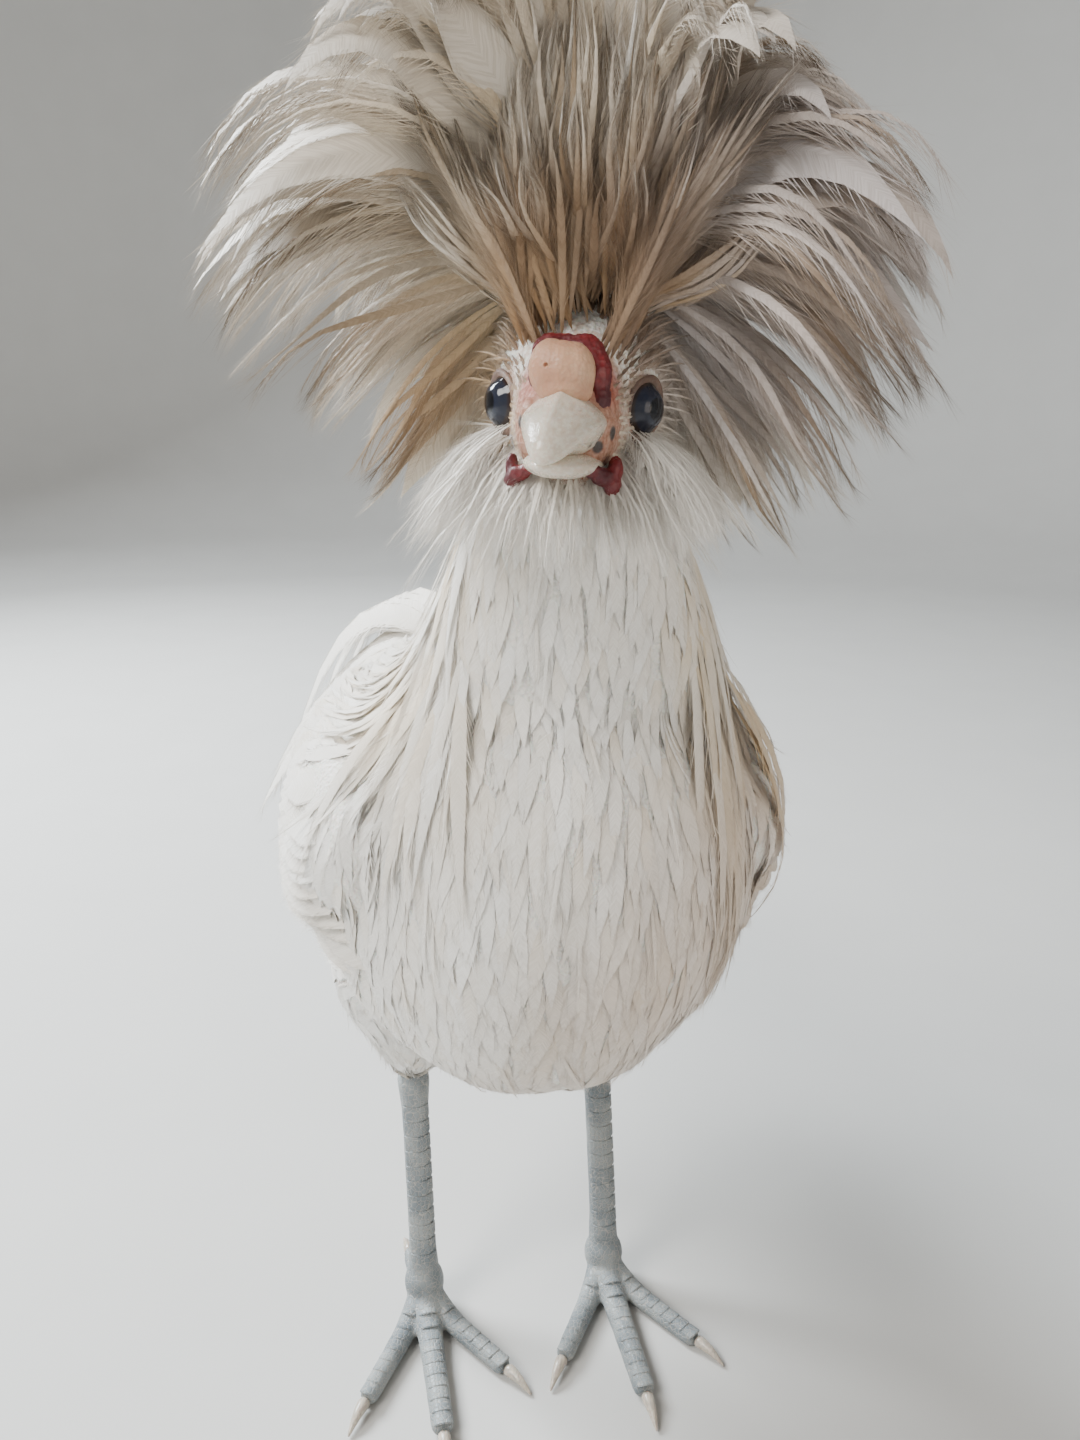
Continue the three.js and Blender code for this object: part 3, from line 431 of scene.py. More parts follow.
def laid(kinds, root, bend, tip, face, width, thick, cup, warm, smoke_and_shade, seed, wave=0, soft=None):
    """Copies of the kinds along their curves, as a list of arrays for as_mesh.

    Width, thickness and wave are in millimetres. Cup bends the edges down, wave bends the whole
    feather sideways like an S, and soft gives the skin's normals at its root and its tip.
    """
    root, bend, tip, face = (np.array(a, float).reshape(-1, 3) for a in (root, bend, tip, face))
    count = len(root)
    width, thick, warm, smoke_and_shade, wave = (
        np.broadcast_to(np.asarray(a, float), count) for a in (width, thick, warm, smoke_and_shade, wave)
    )
    side = np.cross(face, tip - root)
    side *= (wave * MM / (np.linalg.norm(side, axis=1) + 1e-9))[:, None]
    rng = np.random.default_rng(seed)
    choice = rng.integers(len(kinds), size=count)
    tone = rng.random(count)
    patch = unrolled(root)
    length = np.linalg.norm(bend - root, axis=1) + np.linalg.norm(tip - bend, axis=1)
    batches = []
    for kind, (points, faces) in enumerate(kinds):
        pick = np.flatnonzero(choice == kind)
        if not len(pick):
            continue
        s, t, up, h = (points[:, i][None, :, None] for i in range(4))
        a, b, c = (q[pick][:, None, :] for q in (root, bend, tip))
        place = (1 - s) ** 2 * a + 2 * s * (1 - s) * b + s**2 * c
        place = place + side[pick][:, None, :] * s * np.sin(2 * np.pi * s)
        ahead = 2 * (1 - s) * (b - a) + 2 * s * (c - b)
        ahead /= np.linalg.norm(ahead, axis=2, keepdims=True) + 1e-9
        out = face[pick][:, None, :]
        out = out - (out * ahead).sum(2, keepdims=True) * ahead
        out /= np.linalg.norm(out, axis=2, keepdims=True) + 1e-9
        across = np.cross(out, ahead)
        half = (width[pick] * MM / 2)[:, None, None]
        lift = (up - cup * t**2) * half + h * (thick[pick] * MM / 2)[:, None, None]
        verts = place + across * t * half + out * lift
        shape = verts.shape[:2]
        barb = np.stack([
            np.broadcast_to((t * half)[..., 0] / MM, shape),
            np.broadcast_to(s[..., 0], shape) * (length[pick] / MM)[:, None],
            np.broadcast_to(tone[pick][:, None], shape),
        ], 2)
        dye_and_shade = np.stack([
            np.broadcast_to(warm[pick][:, None], shape),
            np.broadcast_to(smoke_and_shade[pick][:, None], shape),
            np.broadcast_to(s[..., 0], shape),
        ], 2)
        local = np.stack([t[0, :, 0] * 0.5, s[0, :, 0] - 0.5], 1) * BAKE_PATCH
        spot = patch[pick][:, None, :] + local[None]
        shade = np.zeros((len(pick), len(faces), 3, 3))
        if soft is not None:
            first, last = (n[pick][:, None, :] for n in soft)
            flow = (1 - s) * first + s * last + (1 / SOFTNESS - 1) * out
            flow /= np.linalg.norm(flow, axis=2, keepdims=True)
            flat = (points[:, :3] + points[:, 3:] * [[0, 0, 1]])[faces]
            turn = np.cross(flat[:, 1] - flat[:, 0], flat[:, 2] - flat[:, 0])[:, 2]
            shade = flow[:, faces] * np.sign(turn)[None, :, None, None]
        batches.append((verts, faces, barb, dye_and_shade, spot, shade))
    return batches


# %% One mesh of many feathers
SHARP = math.radians(50)  # keeps a blade's four sides apart in the light


def as_mesh(name, batches, finish, replaces=()):
    """One mesh of many laid feathers, riding on the model's body."""
    verts, faces, barbs, dyes_and_shades, spots, shades, start = [], [], [], [], [], [], 0
    for v, f, barb, dye_and_shade, spot, shade in batches:
        count, each = v.shape[:2]
        shift = start + each * np.arange(count)[:, None, None]
        faces.append((f[None] + shift).reshape(-1, 3))
        for store, values in zip((verts, barbs, dyes_and_shades), (v, barb, dye_and_shade)):
            store.append(values.reshape(-1, 3))
        spots.append(spot.reshape(-1, 2))
        shades.append(shade.reshape(-1, 3))
        start += count * each
    verts, faces, barbs, dyes_and_shades, spots, shades = map(
        np.concatenate, (verts, faces, barbs, dyes_and_shades, spots, shades)
    )
    mesh = bpy.data.meshes.new(name)
    mesh.vertices.add(len(verts))
    mesh.vertices.foreach_set("co", verts.astype(np.float32).ravel())
    mesh.loops.add(faces.size)
    mesh.loops.foreach_set("vertex_index", faces.ravel().astype(np.int32))
    mesh.polygons.add(len(faces))
    mesh.polygons.foreach_set("loop_start", np.arange(0, faces.size, 3, dtype=np.int32))
    mesh.polygons.foreach_set("use_smooth", np.ones(len(faces), bool))
    mesh.update(calc_edges=True)
    mesh.set_sharp_from_angle(angle=SHARP)
    for key, values in (("barb", barbs), ("dye_and_shade", dyes_and_shades)):
        attribute = mesh.attributes.new(key, "FLOAT_VECTOR", "POINT")
        attribute.data.foreach_set("vector", values.astype(np.float32).ravel())
    if shades.any():
        mesh.normals_split_custom_set(shades)
    bake = mesh.uv_layers.new(name="OFBake")
    bake.data.foreach_set("uv", spots[faces.ravel()].astype(np.float32).ravel())
    piece = bpy.data.objects.new(name, mesh)
    bpy.context.scene.collection.objects.link(piece)
    mesh.materials.append(finish)
    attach(piece, "root")
    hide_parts(*replaces)
    print(f"{name}: {len(faces)} triangles")
    return piece


# %% [markdown]
# ## Finishes
# The plumage is matt and soft. Fine lines run out from each shaft, the base of the long
# feathers is cream, and the crest's tips are smoked grey-brown. Painted shade darkens the
# crest's base and its front and lower feathers, the face under the crest, the furrow and the
# lower part of the breast, and the crease by the hackles. The face is thin pink skin, the comb
# and wattles are red and grained, the knob over the bill is a waxy peach, and the bill is pale
# horn. Each finish is a small tree of nodes on Object coordinates or on the two feather
# attributes.

# %% Small helpers for node trees
def tree_of(name):
    finish = bpy.data.materials.new(name)
    finish.use_nodes = True
    return finish, finish.node_tree, finish.node_tree.nodes["Principled BSDF"]


def put(tree, socket, value):
    if isinstance(value, bpy.types.NodeSocket):
        tree.links.new(value, socket)
    else:
        socket.default_value = value


def node(tree, kind, inputs=(), out=0, **settings):
    made = tree.nodes.new(kind)
    for key, value in settings.items():
        setattr(made, key, value)
    for key, value in dict(inputs).items():
        put(tree, made.inputs[key], value)
    return made.outputs[out]


def maths(tree, operation, a, b=0.0):
    return node(tree, "ShaderNodeMath", {0: a, 1: b}, operation=operation)


def blend(tree, share, a, b, kind="MIX"):
    return node(
        tree, "ShaderNodeMix", {0: share, 6: a, 7: b}, out=2, data_type="RGBA", blend_type=kind
    )


def eased(tree, value, low, high, to_low=0.0, to_high=1.0):
    inputs = {0: value, 1: low, 2: high, 3: to_low, 4: to_high}
    return node(tree, "ShaderNodeMapRange", inputs, interpolation_type="SMOOTHSTEP")


def noise(tree, vector, scale, detail=3.0, out=0):
    return node(tree, "ShaderNodeTexNoise", {0: vector, "Scale": scale, "Detail": detail}, out=out)


def bumped(tree, shader, height, strength, distance):
    made = node(
        tree, "ShaderNodeBump", {"Height": height, "Strength": strength, "Distance": distance * MM}
    )
    tree.links.new(made, shader.inputs["Normal"])


def colour(red, green, blue):
    return (red, green, blue, 1)


def surface(tree, shader, base, rough, values):
    """Sets colour, roughness and other values of the main shader."""
    for key, value in {"Base Color": base, "Roughness": rough, **values}.items():
        put(tree, shader.inputs[key], value)


FLESHY = {"Subsurface Scale": 0.002}  # light goes about two millimetres deep

# %% Places, stained patches and painted shade
def in_frame(tree, place, matrix):
    """Object coordinates seen from a frame of the model, in millimetres."""
    turn = matrix.inverted()
    return node(tree, "ShaderNodeMapping", {
        0: place, "Location": turn.translation / MM, "Rotation": turn.to_euler(),
        "Scale": (1 / MM,) * 3,
    })


def nearness(tree, place, centre, radius, soft):
    """1 near a centre, 0 beyond radius + soft."""
    far = node(tree, "ShaderNodeVectorMath", {0: place, 1: centre}, out=1, operation="DISTANCE")
    return eased(tree, far, radius + soft, radius)


def stained_and_shaded(tree, base, place, stains_and_shade, kind="MIX"):
    """Stains and painted shade over a colour: (centre, radius, softness, strength, colour), in
    millimetres.
    """
    for centre, radius, soft, strength, stain_and_shade_colour in stains_and_shade:
        near = nearness(tree, place, centre, radius, soft)
        base = blend(tree, maths(tree, "MULTIPLY", near, strength), base, stain_and_shade_colour, kind)
    return base


# %% Plumage
CREAM = colour(0.72, 0.54, 0.3)
# The two darker colours below serve smoked feathers and painted shade alike.
TAN_AND_SHADE = colour(0.38, 0.28, 0.18)
SMOKY_TIP_AND_SHADE = colour(0.11, 0.085, 0.06)
LINE_STRETCH = (1, 0.12, 40)  # the fine lines run out along the barbs, new on each feather


def plumage_finish(name, white, streak, variety, frame_of, stains_and_shade):
    finish, tree, shader = tree_of(name)
    barb = node(tree, "ShaderNodeAttribute", out=1, attribute_name="barb")
    dye_and_shade = node(tree, "ShaderNodeAttribute", out=1, attribute_name="dye_and_shade")
    across, along, tone = node(tree, "ShaderNodeSeparateXYZ", {0: barb}).node.outputs
    warm, smoky_and_shaded, share = node(tree, "ShaderNodeSeparateXYZ", {0: dye_and_shade}).node.outputs
    wide = maths(tree, "ABSOLUTE", across)
    slant = maths(tree, "SUBTRACT", along, maths(tree, "MULTIPLY", wide, 1.5))
    line_place = node(tree, "ShaderNodeCombineXYZ", {
        0: slant, 1: maths(tree, "MULTIPLY", across, LINE_STRETCH[1]),
        2: maths(tree, "MULTIPLY", tone, LINE_STRETCH[2]),
    })
    lines = noise(tree, line_place, 1.4, 4)
    place = node(tree, "ShaderNodeTexCoord", out=3)
    cloud = noise(tree, place, 38, 2)
    creamy = maths(tree, "MULTIPLY", warm, eased(tree, share, 1.0, 0.1, 0.35, 1.0))
    base = blend(tree, creamy, white, CREAM)
    # Darker tan in the middle and smoked tips: real smoked feathers, and painted shade on the face
    # and on the crest's front and lower feathers.
    dusty_and_shaded = maths(tree, "MULTIPLY", smoky_and_shaded, eased(tree, share, 0.1, 0.75))
    base = blend(tree, dusty_and_shaded, base, TAN_AND_SHADE)
    dark_tips_and_shade = maths(tree, "MULTIPLY", smoky_and_shaded, eased(tree, share, 0.6, 1.05))
    base = blend(tree, dark_tips_and_shade, base, SMOKY_TIP_AND_SHADE)
    for shade, tint in (
        (eased(tree, lines, 0.4, 0.62, 0.0, streak), colour(0.5, 0.44, 0.37)),
        (eased(tree, tone, 0, 1, 0, variety), colour(0.56, 0.5, 0.43)),
        (eased(tree, cloud, 0.4, 0.7, 0, 0.14), colour(0.78, 0.74, 0.68)),
    ):
        base = blend(tree, shade, base, tint, "MULTIPLY")
    base = stained_and_shaded(tree, base, in_frame(tree, place, frame_of), stains_and_shade, "MULTIPLY")
    surface(tree, shader, base, eased(tree, lines, 0.3, 0.7, 0.5, 0.72), {
        "Sheen Weight": 0.25, "Sheen Roughness": 0.45, "Specular IOR Level": 0.3
    })
    bumped(tree, shader, lines, 0.5, 0.25)
    return finish


# %% Stains and painted shade of the body coat and the crest
BODY_STAINS_AND_SHADE = [
    # painted warm shade, pinkish, low on the breast on the bird's left
    ((34, -48, 190), 22, 44, 0.55, colour(0.86, 0.72, 0.62)),
    # painted shade in the furrow down the middle of the breast
    ((2, -56, 172), 8, 34, 0.6, colour(0.72, 0.64, 0.57)),
    # painted shade low on the breast, towards the belly
    ((0, -46, 120), 18, 34, 0.55, colour(0.76, 0.66, 0.58)),
    ((-34, -40, 236), 5, 22, 0.6, colour(0.92, 0.82, 0.66)),
    # painted shade in the crease between the breast and the hackles on the bird's left
    ((38, -24, 232), 6, 24, 0.7, colour(0.66, 0.56, 0.46)),
]
CREST_TINTS_AND_SHADE = [
    # painted shade under the front of the crest, over partly brown roots
    ((0, -8, 22), 11, 20, 0.85, colour(0.4, 0.28, 0.18)),
    # painted shade of the crest, mauve, beside the comb on the bird's left
    ((10, -8, 9), 3, 9, 0.6, colour(0.5, 0.43, 0.42)),
    # the same painted shade, browner, beside the comb on the bird's right
    ((-10, -8, 9), 3, 9, 0.6, colour(0.52, 0.38, 0.26)),
    ((-30, -4, -8), 14, 22, 0.7, colour(0.86, 0.62, 0.36)),
    # painted shade, grey-lavender, on the crest's side away from the window
    ((42, 0, 24), 24, 26, 0.7, colour(0.8, 0.77, 0.86)),
]
plumage = plumage_finish("plumage", colour(0.88, 0.86, 0.82), 0.16, 0.12, body, BODY_STAINS_AND_SHADE)
crest_plumage = plumage_finish(
    "crest plumage", colour(0.84, 0.81, 0.76), 0.3, 0.45, head, CREST_TINTS_AND_SHADE
)


# %% Skin: white under the coat, pink and grained on the face
FLUSH = colour(0.42, 0.07, 0.05)
EYE_RING = colour(0.5, 0.33, 0.27)
MARK = colour(0.05, 0.05, 0.05)
FACE_STAINS = [
    ((0, -20, -3), 11, 8, 1, colour(0.44, 0.25, 0.18)),
    ((8, -15, 6), 3.5, 4, 0.55, FLUSH), (on_eye_axis(1, 3), 5.0, 3, 1, EYE_RING),
    ((-8, -15, 6), 3.5, 4, 0.45, FLUSH), (on_eye_axis(-1, 3), 5.0, 3, 1, EYE_RING),
    ((-9.0, -17, -3), 1.3, 0.7, 0.95, MARK), ((8.6, -15.1, -4.3), 0.9, 0.7, 0.95, MARK),
    ((6.3, -18.1, -6.7), 0.8, 0.7, 0.95, MARK),
]


def skin_finish():
    finish, tree, shader = tree_of("skin")
    face = in_frame(tree, node(tree, "ShaderNodeTexCoord", out=3), head)
    grain = noise(tree, face, 0.9, 4)
    fine = node(tree, "ShaderNodeTexVoronoi", {0: face, "Scale": 0.9}, out=0)
    patchy = noise(tree, face, 0.12, 3)
    base = blend(tree, patchy, colour(0.78, 0.74, 0.67), colour(0.84, 0.81, 0.76))
    base = stained_and_shaded(tree, base, face, FACE_STAINS)
    on_face = nearness(tree, face, (0, -12, -2), 14, 8)
    rough = maths(tree, "MULTIPLY", eased(tree, grain, 0.4, 0.65, 0, 0.8), on_face)
    base = blend(tree, rough, base, colour(0.66, 0.5, 0.4), "MULTIPLY")
    surface(tree, shader, base, eased(tree, grain, 0.3, 0.7, 0.5, 0.7), {
        "Subsurface Weight": 0.15, **FLESHY
    })
    bumped(tree, shader, maths(tree, "ADD", grain, fine), 0.6, 0.5)
    return finish


finished(
    skin, skin_finish(), "face_skin", "head", "neck", "torso", "thigh_left", "thigh_right"
)


# %% Fleshy reds and the waxy knob
def flesh_finish(name, light, dark, grain_scale, rough, bump_depth):
    finish, tree, shader = tree_of(name)
    place = node(tree, "ShaderNodeTexCoord", out=3)
    broad = noise(tree, place, 120, 3)
    grain = node(tree, "ShaderNodeTexVoronoi", {0: place, "Scale": grain_scale}, out=0)
    base = blend(tree, eased(tree, broad, 0.35, 0.65), light, dark)
    base = blend(tree, eased(tree, grain, 0.2, 0.9, 0, 0.4), base, dark)
    surface(tree, shader, base, eased(tree, broad, 0.3, 0.7, rough, rough + 0.18), {
        "Subsurface Weight": 0.2, **FLESHY
    })
    bumped(tree, shader, grain, 0.5, bump_depth)
    return finish


# Light and dark colour, scale of the grain, roughness, depth of the grain.
comb_red = flesh_finish(
    "comb red", colour(0.2, 0.018, 0.02), colour(0.07, 0.008, 0.012), 900, 0.38, 0.5
)
knob_wax = flesh_finish(
    "knob wax", colour(0.66, 0.42, 0.27), colour(0.5, 0.27, 0.17), 1500, 0.36, 0.2
)
lid_skin = flesh_finish(
    "lid skin", colour(0.3, 0.2, 0.15), colour(0.14, 0.09, 0.07), 1800, 0.5, 0.2
)


# %% Horn of the bill and the claws
def horn_finish(name, pale, deep, spots):
    finish, tree, shader = tree_of(name)
    face = in_frame(tree, node(tree, "ShaderNodeTexCoord", out=3), head)
    drawn_out = node(tree, "ShaderNodeMapping", {0: face, "Scale": (1.6, 0.25, 1.6)})
    streaks = noise(tree, drawn_out, 1, 3)
    base = blend(tree, eased(tree, streaks, 0.35, 0.7), pale, deep)
    base = stained_and_shaded(tree, base, face, [BILL_ROOT, *spots])
    surface(tree, shader, base, eased(tree, streaks, 0.3, 0.7, 0.18, 0.32), {
        "Subsurface Weight": 0.12, **FLESHY
    })
    bumped(tree, shader, streaks, 0.3, 0.15)
    return finish


SPOT = colour(0.045, 0.05, 0.055)
BILL_ROOT = ((0, -13, -3), 5, 7, 0.6, colour(0.55, 0.36, 0.26))
BILL_SPOTS = [
    ((6.3, -22.8, -7.2), 1.2, 0.7, 0.85, SPOT), ((8.0, -19.2, -5.4), 1.3, 0.7, 0.85, SPOT)
]
bill_horn = horn_finish("bill horn", colour(0.72, 0.66, 0.56), colour(0.6, 0.5, 0.4), BILL_SPOTS)
claw_horn = horn_finish("claw horn", colour(0.5, 0.44, 0.36), colour(0.3, 0.26, 0.22), [])
print("finishes so far:", [finish.name for finish in bpy.data.materials])

# %% [markdown]
# ## The eyes
# In the photo the eyes are dark with a blue-black shine. A real eye is a ball with a clear,
# bulging window over the iris. One ball is shaped: its front cap is pulled out for the
# window. Rings of colour follow the angle from its axis, kept in an attribute named ring.

# %% Eye finish
def eye_finish():
    finish, tree, shader = tree_of("eye")
    ring = node(tree, "ShaderNodeAttribute", out=2, attribute_name="ring")
    place = node(tree, "ShaderNodeTexCoord", out=3)
    spokes = noise(tree, place, 900, 3)
    iris = blend(tree, spokes, colour(0.008, 0.014, 0.032), colour(0.03, 0.03, 0.04))
    base = blend(tree, eased(tree, ring, 16, 20), colour(0.002, 0.002, 0.004), iris)
    base = blend(tree, eased(tree, ring, 40, 47), base, colour(0.03, 0.018, 0.014))
    surface(tree, shader, base, eased(tree, spokes, 0.2, 0.8, 0.08, 0.14), {
        "Coat Weight": 0.4, "Specular IOR Level": 0.3, "Coat Roughness": 0.02, "IOR": 1.38
    })
    return finish


eye_glaze = eye_finish()

# %% Eyeballs
WINDOW_FROM = 0.8  # the window starts so far out on the ball's radius
WINDOW_BULGE = 0.45


def eye_place(sign, out):
    """A frame on an eye's axis, whose z looks out of the head."""
    look = turned(-sign * EYE_FORWARD, "Z") @ turned(sign * 90, "Y")
    return head @ Matrix.Translation(Vector(on_eye_axis(sign, out)) * MM) @ look


def eyeball(side, sign):
    fresh_start()
    bpy.ops.mesh.primitive_uv_sphere_add(segments=40, ring_count=28, radius=EYE["radius"] * MM)
    ball = bpy.context.active_object
    ball.name = f"eyeball_{side}"
    bpy.ops.object.mode_set(mode="EDIT")
    bpy.ops.mesh.select_all(action="DESELECT")
    bpy.ops.object.mode_set(mode="OBJECT")
    for vertex in ball.data.vertices:
        vertex.select = vertex.co.z > WINDOW_FROM * EYE["radius"] * MM
    bpy.ops.object.mode_set(mode="EDIT")
    bpy.ops.mesh.select_mode(type="VERT")
    bpy.ops.transform.translate(value=(0, 0, WINDOW_BULGE * MM))
    bpy.ops.object.mode_set(mode="OBJECT")
    ring = ball.data.attributes.new("ring", "FLOAT", "POINT")
    axis = Vector((0, 0, 1))
    ring.data.foreach_set("value", [math.degrees(v.co.angle(axis)) for v in ball.data.vertices])
    ball.data.transform(eye_place(sign, 0))
    return finished(ball, eye_glaze, "eye", f"eye_{side}")


for side, sign in SIDES:
    eyeball(side, sign)

# %% [markdown]
# ## Eyelids
# A bird's lid is a thin wrinkled ring, taller than wide, with its corners drawn out fore and
# aft. A torus gives the ring, and edit mode squeezes it to an almond and pulls its corners.

# %% Lids
LID_TILT = 50  # the almond's rear corner stands high
LID_OUT = 3.4
LID_RING, LID_EDGE = 4.7, 0.95  # radius of the ring and of its section
CORNER_PULL, CORNER_DROP = 0.28, 0.6


def eyelid(side, sign):
    fresh_start()
    bpy.ops.mesh.primitive_torus_add(
        major_radius=LID_RING * MM, minor_radius=LID_EDGE * MM,
        major_segments=40, minor_segments=12,
    )
    lid = bpy.context.active_object
    lid.name = f"lid_{side}"
    bpy.ops.object.mode_set(mode="EDIT")
    bpy.ops.transform.resize(value=(0.98, 1.0, 0.75), center_override=(0, 0, 0))
    bpy.ops.object.mode_set(mode="OBJECT")
    for vertex in lid.data.vertices:
        angle = math.atan2(vertex.co.x, vertex.co.y)
        pull = abs(math.cos(angle)) ** 6
        vertex.co *= 1 + CORNER_PULL * pull
        vertex.co.z -= CORNER_DROP * MM * pull
    lid.data.transform(eye_place(sign, LID_OUT) @ turned(sign * LID_TILT, "Z"))
    modify(lid, "SUBSURF", levels=1, render_levels=1)
    return finished(lid, lid_skin, "face_skin")


for side, sign in SIDES:
    eyelid(side, sign)

# %% [markdown]
# ## The bill, the knob, the comb and the wattles
# The bill's two halves are grown ring by ring like the head. A polish has a bulb of raised
# nostrils over the bill and a small red comb behind it. These fleshy parts start as balls that
# are scaled, joined, remeshed to one skin and grained.

# %% The bill
UPPER_BILL = [
    (0, -13, -2.4, 7.6, 5.6), (0, -16, -2.2, 8.0, 6.2), (0, -22, -2.9, 7.2, 5.6),
    (0, -28, -4.0, 5.6, 4.6), (0, -33, -5.6, 3.7, 3.4), (0, -36, -7.4, 1.9, 2.0),
    (0, -36.7, -8.4, 0.8, 0.8),
]
LOWER_BILL = [
    (0, -12, -10, 7.4, 2.6), (0, -15, -10, 7.6, 2.7), (0, -22, -10, 6.5, 2.4),
    (0, -28, -9.9, 4.4, 1.9), (0, -31.5, -9.7, 2.6, 1.2), (0, -32.6, -9.6, 1.2, 0.5),
]
BILL_BEND = 1.6  # how far the tip leans to the bird's right
RIDGE_PINCH = 0.42  # how much narrower the ridge is than the middle
RIDGE_Y, RIDGE_Z = (13, 22, 28, 36.7), (-2.4, -2.9, -4.0, -8.4)


def pinched(piece):
    """Pinches the ridge of the upper bill and waves its mouth line."""
    for vertex in piece.data.vertices:
        x, y, z = vertex.co / MM
        middle = np.interp(-y, RIDGE_Y, RIDGE_Z)
        wave = 0.4 * math.sin((y + 16) * 0.42) * min(abs(x) / 3, 1) * (z < -6)
        vertex.co.x *= 1 - RIDGE_PINCH * ramp(z, middle, middle + 5) ** 1.6
        vertex.co.z += (0.4 * math.exp(-((x / 1.6) ** 2)) * (z > -7) + wave) * MM


for name, rings in (("upper_bill", UPPER_BILL), ("lower_bill", LOWER_BILL)):
    half = ring_form(name, rings, 16, Matrix.Identity(4), rounds=3)
    if name == "upper_bill":
        pinched(half)
    for vertex in half.data.vertices:
        vertex.co.x -= BILL_BEND * ramp(-vertex.co.y / MM, 14, 37) ** 2 * MM
    half.data.transform(head)
    finished(half, bill_horn, "bill_horn", "_".join(reversed(name.split("_"))))

# %% Fleshy lumps: knob, comb and wattles
KNOB = [
    ((1.1, -18.2, 5.6), (4.1, 5.4, 5.2)), ((-2.7, -18.2, 6.1), (3.9, 5.4, 5.1)),
    ((-0.6, -18.8, 6.0), (4.2, 5.2, 4.9)), ((0, -19, 3.0), (5.0, 4.6, 3.6)),
]
COMB = [
    ((2.6, -14.4, 8.6), (3.9, 3.4, 3.9)), ((-3.2, -14.2, 8.8), (3.5, 3.2, 3.5)),
    ((5.4, -14.6, 5.2), (2.4, 3.3, 4.6)), ((-5.6, -14.4, 5.6), (1.5, 3.0, 3.5)),
    ((0.0, -13.6, 10.2), (3.0, 2.8, 2.1)), ((5.9, -15.0, 1.4), (2.1, 2.9, 3.6)),
]
FLESH_VOXEL = 0.45


def lumpy_form(name, lumps, roughness, seed):
    """Egg shapes (centre, radius) melted into one lump with a grained surface."""
    whole = joined([ball_form(name, centre, radius, head) for centre, radius in lumps])
    modify(whole, "REMESH", mode="VOXEL", voxel_size=FLESH_VOXEL * MM)
    modify(whole, "SMOOTH", factor=0.5, iterations=3)
    bpy.ops.object.mode_set(mode="EDIT")
    bpy.ops.mesh.select_all(action="SELECT")
    bpy.ops.transform.vertex_random(offset=roughness * MM, normal=1, uniform=0, seed=seed)
    bpy.ops.object.mode_set(mode="OBJECT")
    modify(whole, "SMOOTH", factor=0.5, iterations=4)
    return whole


# %% Make the knob and the comb
knob = lumpy_form("knob", KNOB, 0.12, 3)
pit = ball_form("pit", (-3.0, -23.9, 6.6), (0.55, 1.0, 0.45), head, across=12, down=8)
finished(carved(knob, pit), knob_wax, "nasal_skin", "nasal_knob")
finished(lumpy_form("comb_flesh", COMB, 0.32, 5), comb_red, "comb_skin", "comb")

# %% Make the wattles
SMALLER = 0.86  # the wattle on the bird's right
for side, sign in SIDES:
    full = 1.0 if side == "left" else SMALLER
    folds = [
        ((sign * 5.4, -19.2, -10.8), (2.2, 1.8, 1.3)),
        ((sign * 7.4, -18.0, -11.8), (2.2, 2.0, 1.6)),
        ((sign * 9.0, -16.2, -13.2), (1.8, 2.4, 2.1)),
        ((sign * 9.4, -15.0, -10.6), (1.4, 2.8, 2.5)),
    ]
    folds = [(centre, [full * r for r in radii]) for centre, radii in folds]
    wattle = lumpy_form(f"wattle_{side}.flesh", folds, 0.28, 7)
    finished(wattle, comb_red, "comb_skin", f"wattle_{side}")

# %% [markdown]
# ## Legs and feet
# The shanks are slate, covered with a row of broad scutes in front and on top of each toe, and
# with fine scales elsewhere. Shank and toes are grown ring by ring and remeshed together. One
# scute is modelled and copied down the leg and along the toes, each copy with its own mesh.

# %% Leg finish
def shank_finish():
    finish, tree, shader = tree_of("shank skin")
    place = node(tree, "ShaderNodeTexCoord", out=3)
    scales = node(tree, "ShaderNodeTexVoronoi", {0: place, "Scale": 620}, out=0)
    edges = node(tree, "ShaderNodeTexVoronoi", {0: place, "Scale": 620}, feature="DISTANCE_TO_EDGE")
    cloud = noise(tree, place, 90, 3)
    slate, worn = colour(0.14, 0.165, 0.18), colour(0.25, 0.27, 0.27)
    base = blend(tree, eased(tree, cloud, 0.35, 0.65), slate, worn)
    base = blend(tree, eased(tree, edges, 0.08, 0.0, 0, 0.6), base, colour(0.42, 0.38, 0.33))
    surface(tree, shader, base, eased(tree, scales, 0, 0.8, 0.4, 0.62), {})
    bumped(tree, shader, eased(tree, edges, 0.0, 0.12), 0.6, 0.25)
    return finish


shank_skin = shank_finish()

# %% One leg, then its twin
HOCK = (36, 88)
ANKLE = (20, 13)
LEG_SIDE = 33
# Name, turn in degrees, length and radius.
TOES = [
    ("inner", -34, 42, 4.0), ("middle", 0, 54, 4.5), ("outer", 32, 44, 4.0),
    ("hind", 172, 24, 3.4),
]
SHANK_RADIUS = 5.1
SHANK_RINGS = 16


def shank_at(share):
    """The middle of the shank, from the hock at 0 to the ankle at 1: (y, z)."""
    drop = HOCK[1] - 0.3 + share * (ANKLE[1] + 2 - HOCK[1])
    return HOCK[0] + (ANKLE[0] - HOCK[0]) * share, drop


def toe_frame(sign, turn):
    """The frame of a toe: it starts on the floor under the ankle and points along -y."""
    foot = body @ Matrix.Translation(Vector((sign * LEG_SIDE, ANKLE[0], 0)) * MM)
    return foot @ turned(turn * sign, "Z")


def toe_section(share, radius):
    """How thick a toe is at a share of its length, and how high its middle lies."""
    thin = radius * (1 - 0.14 * share)
    return thin, max(thin * 0.86, 9 - 16 * share)


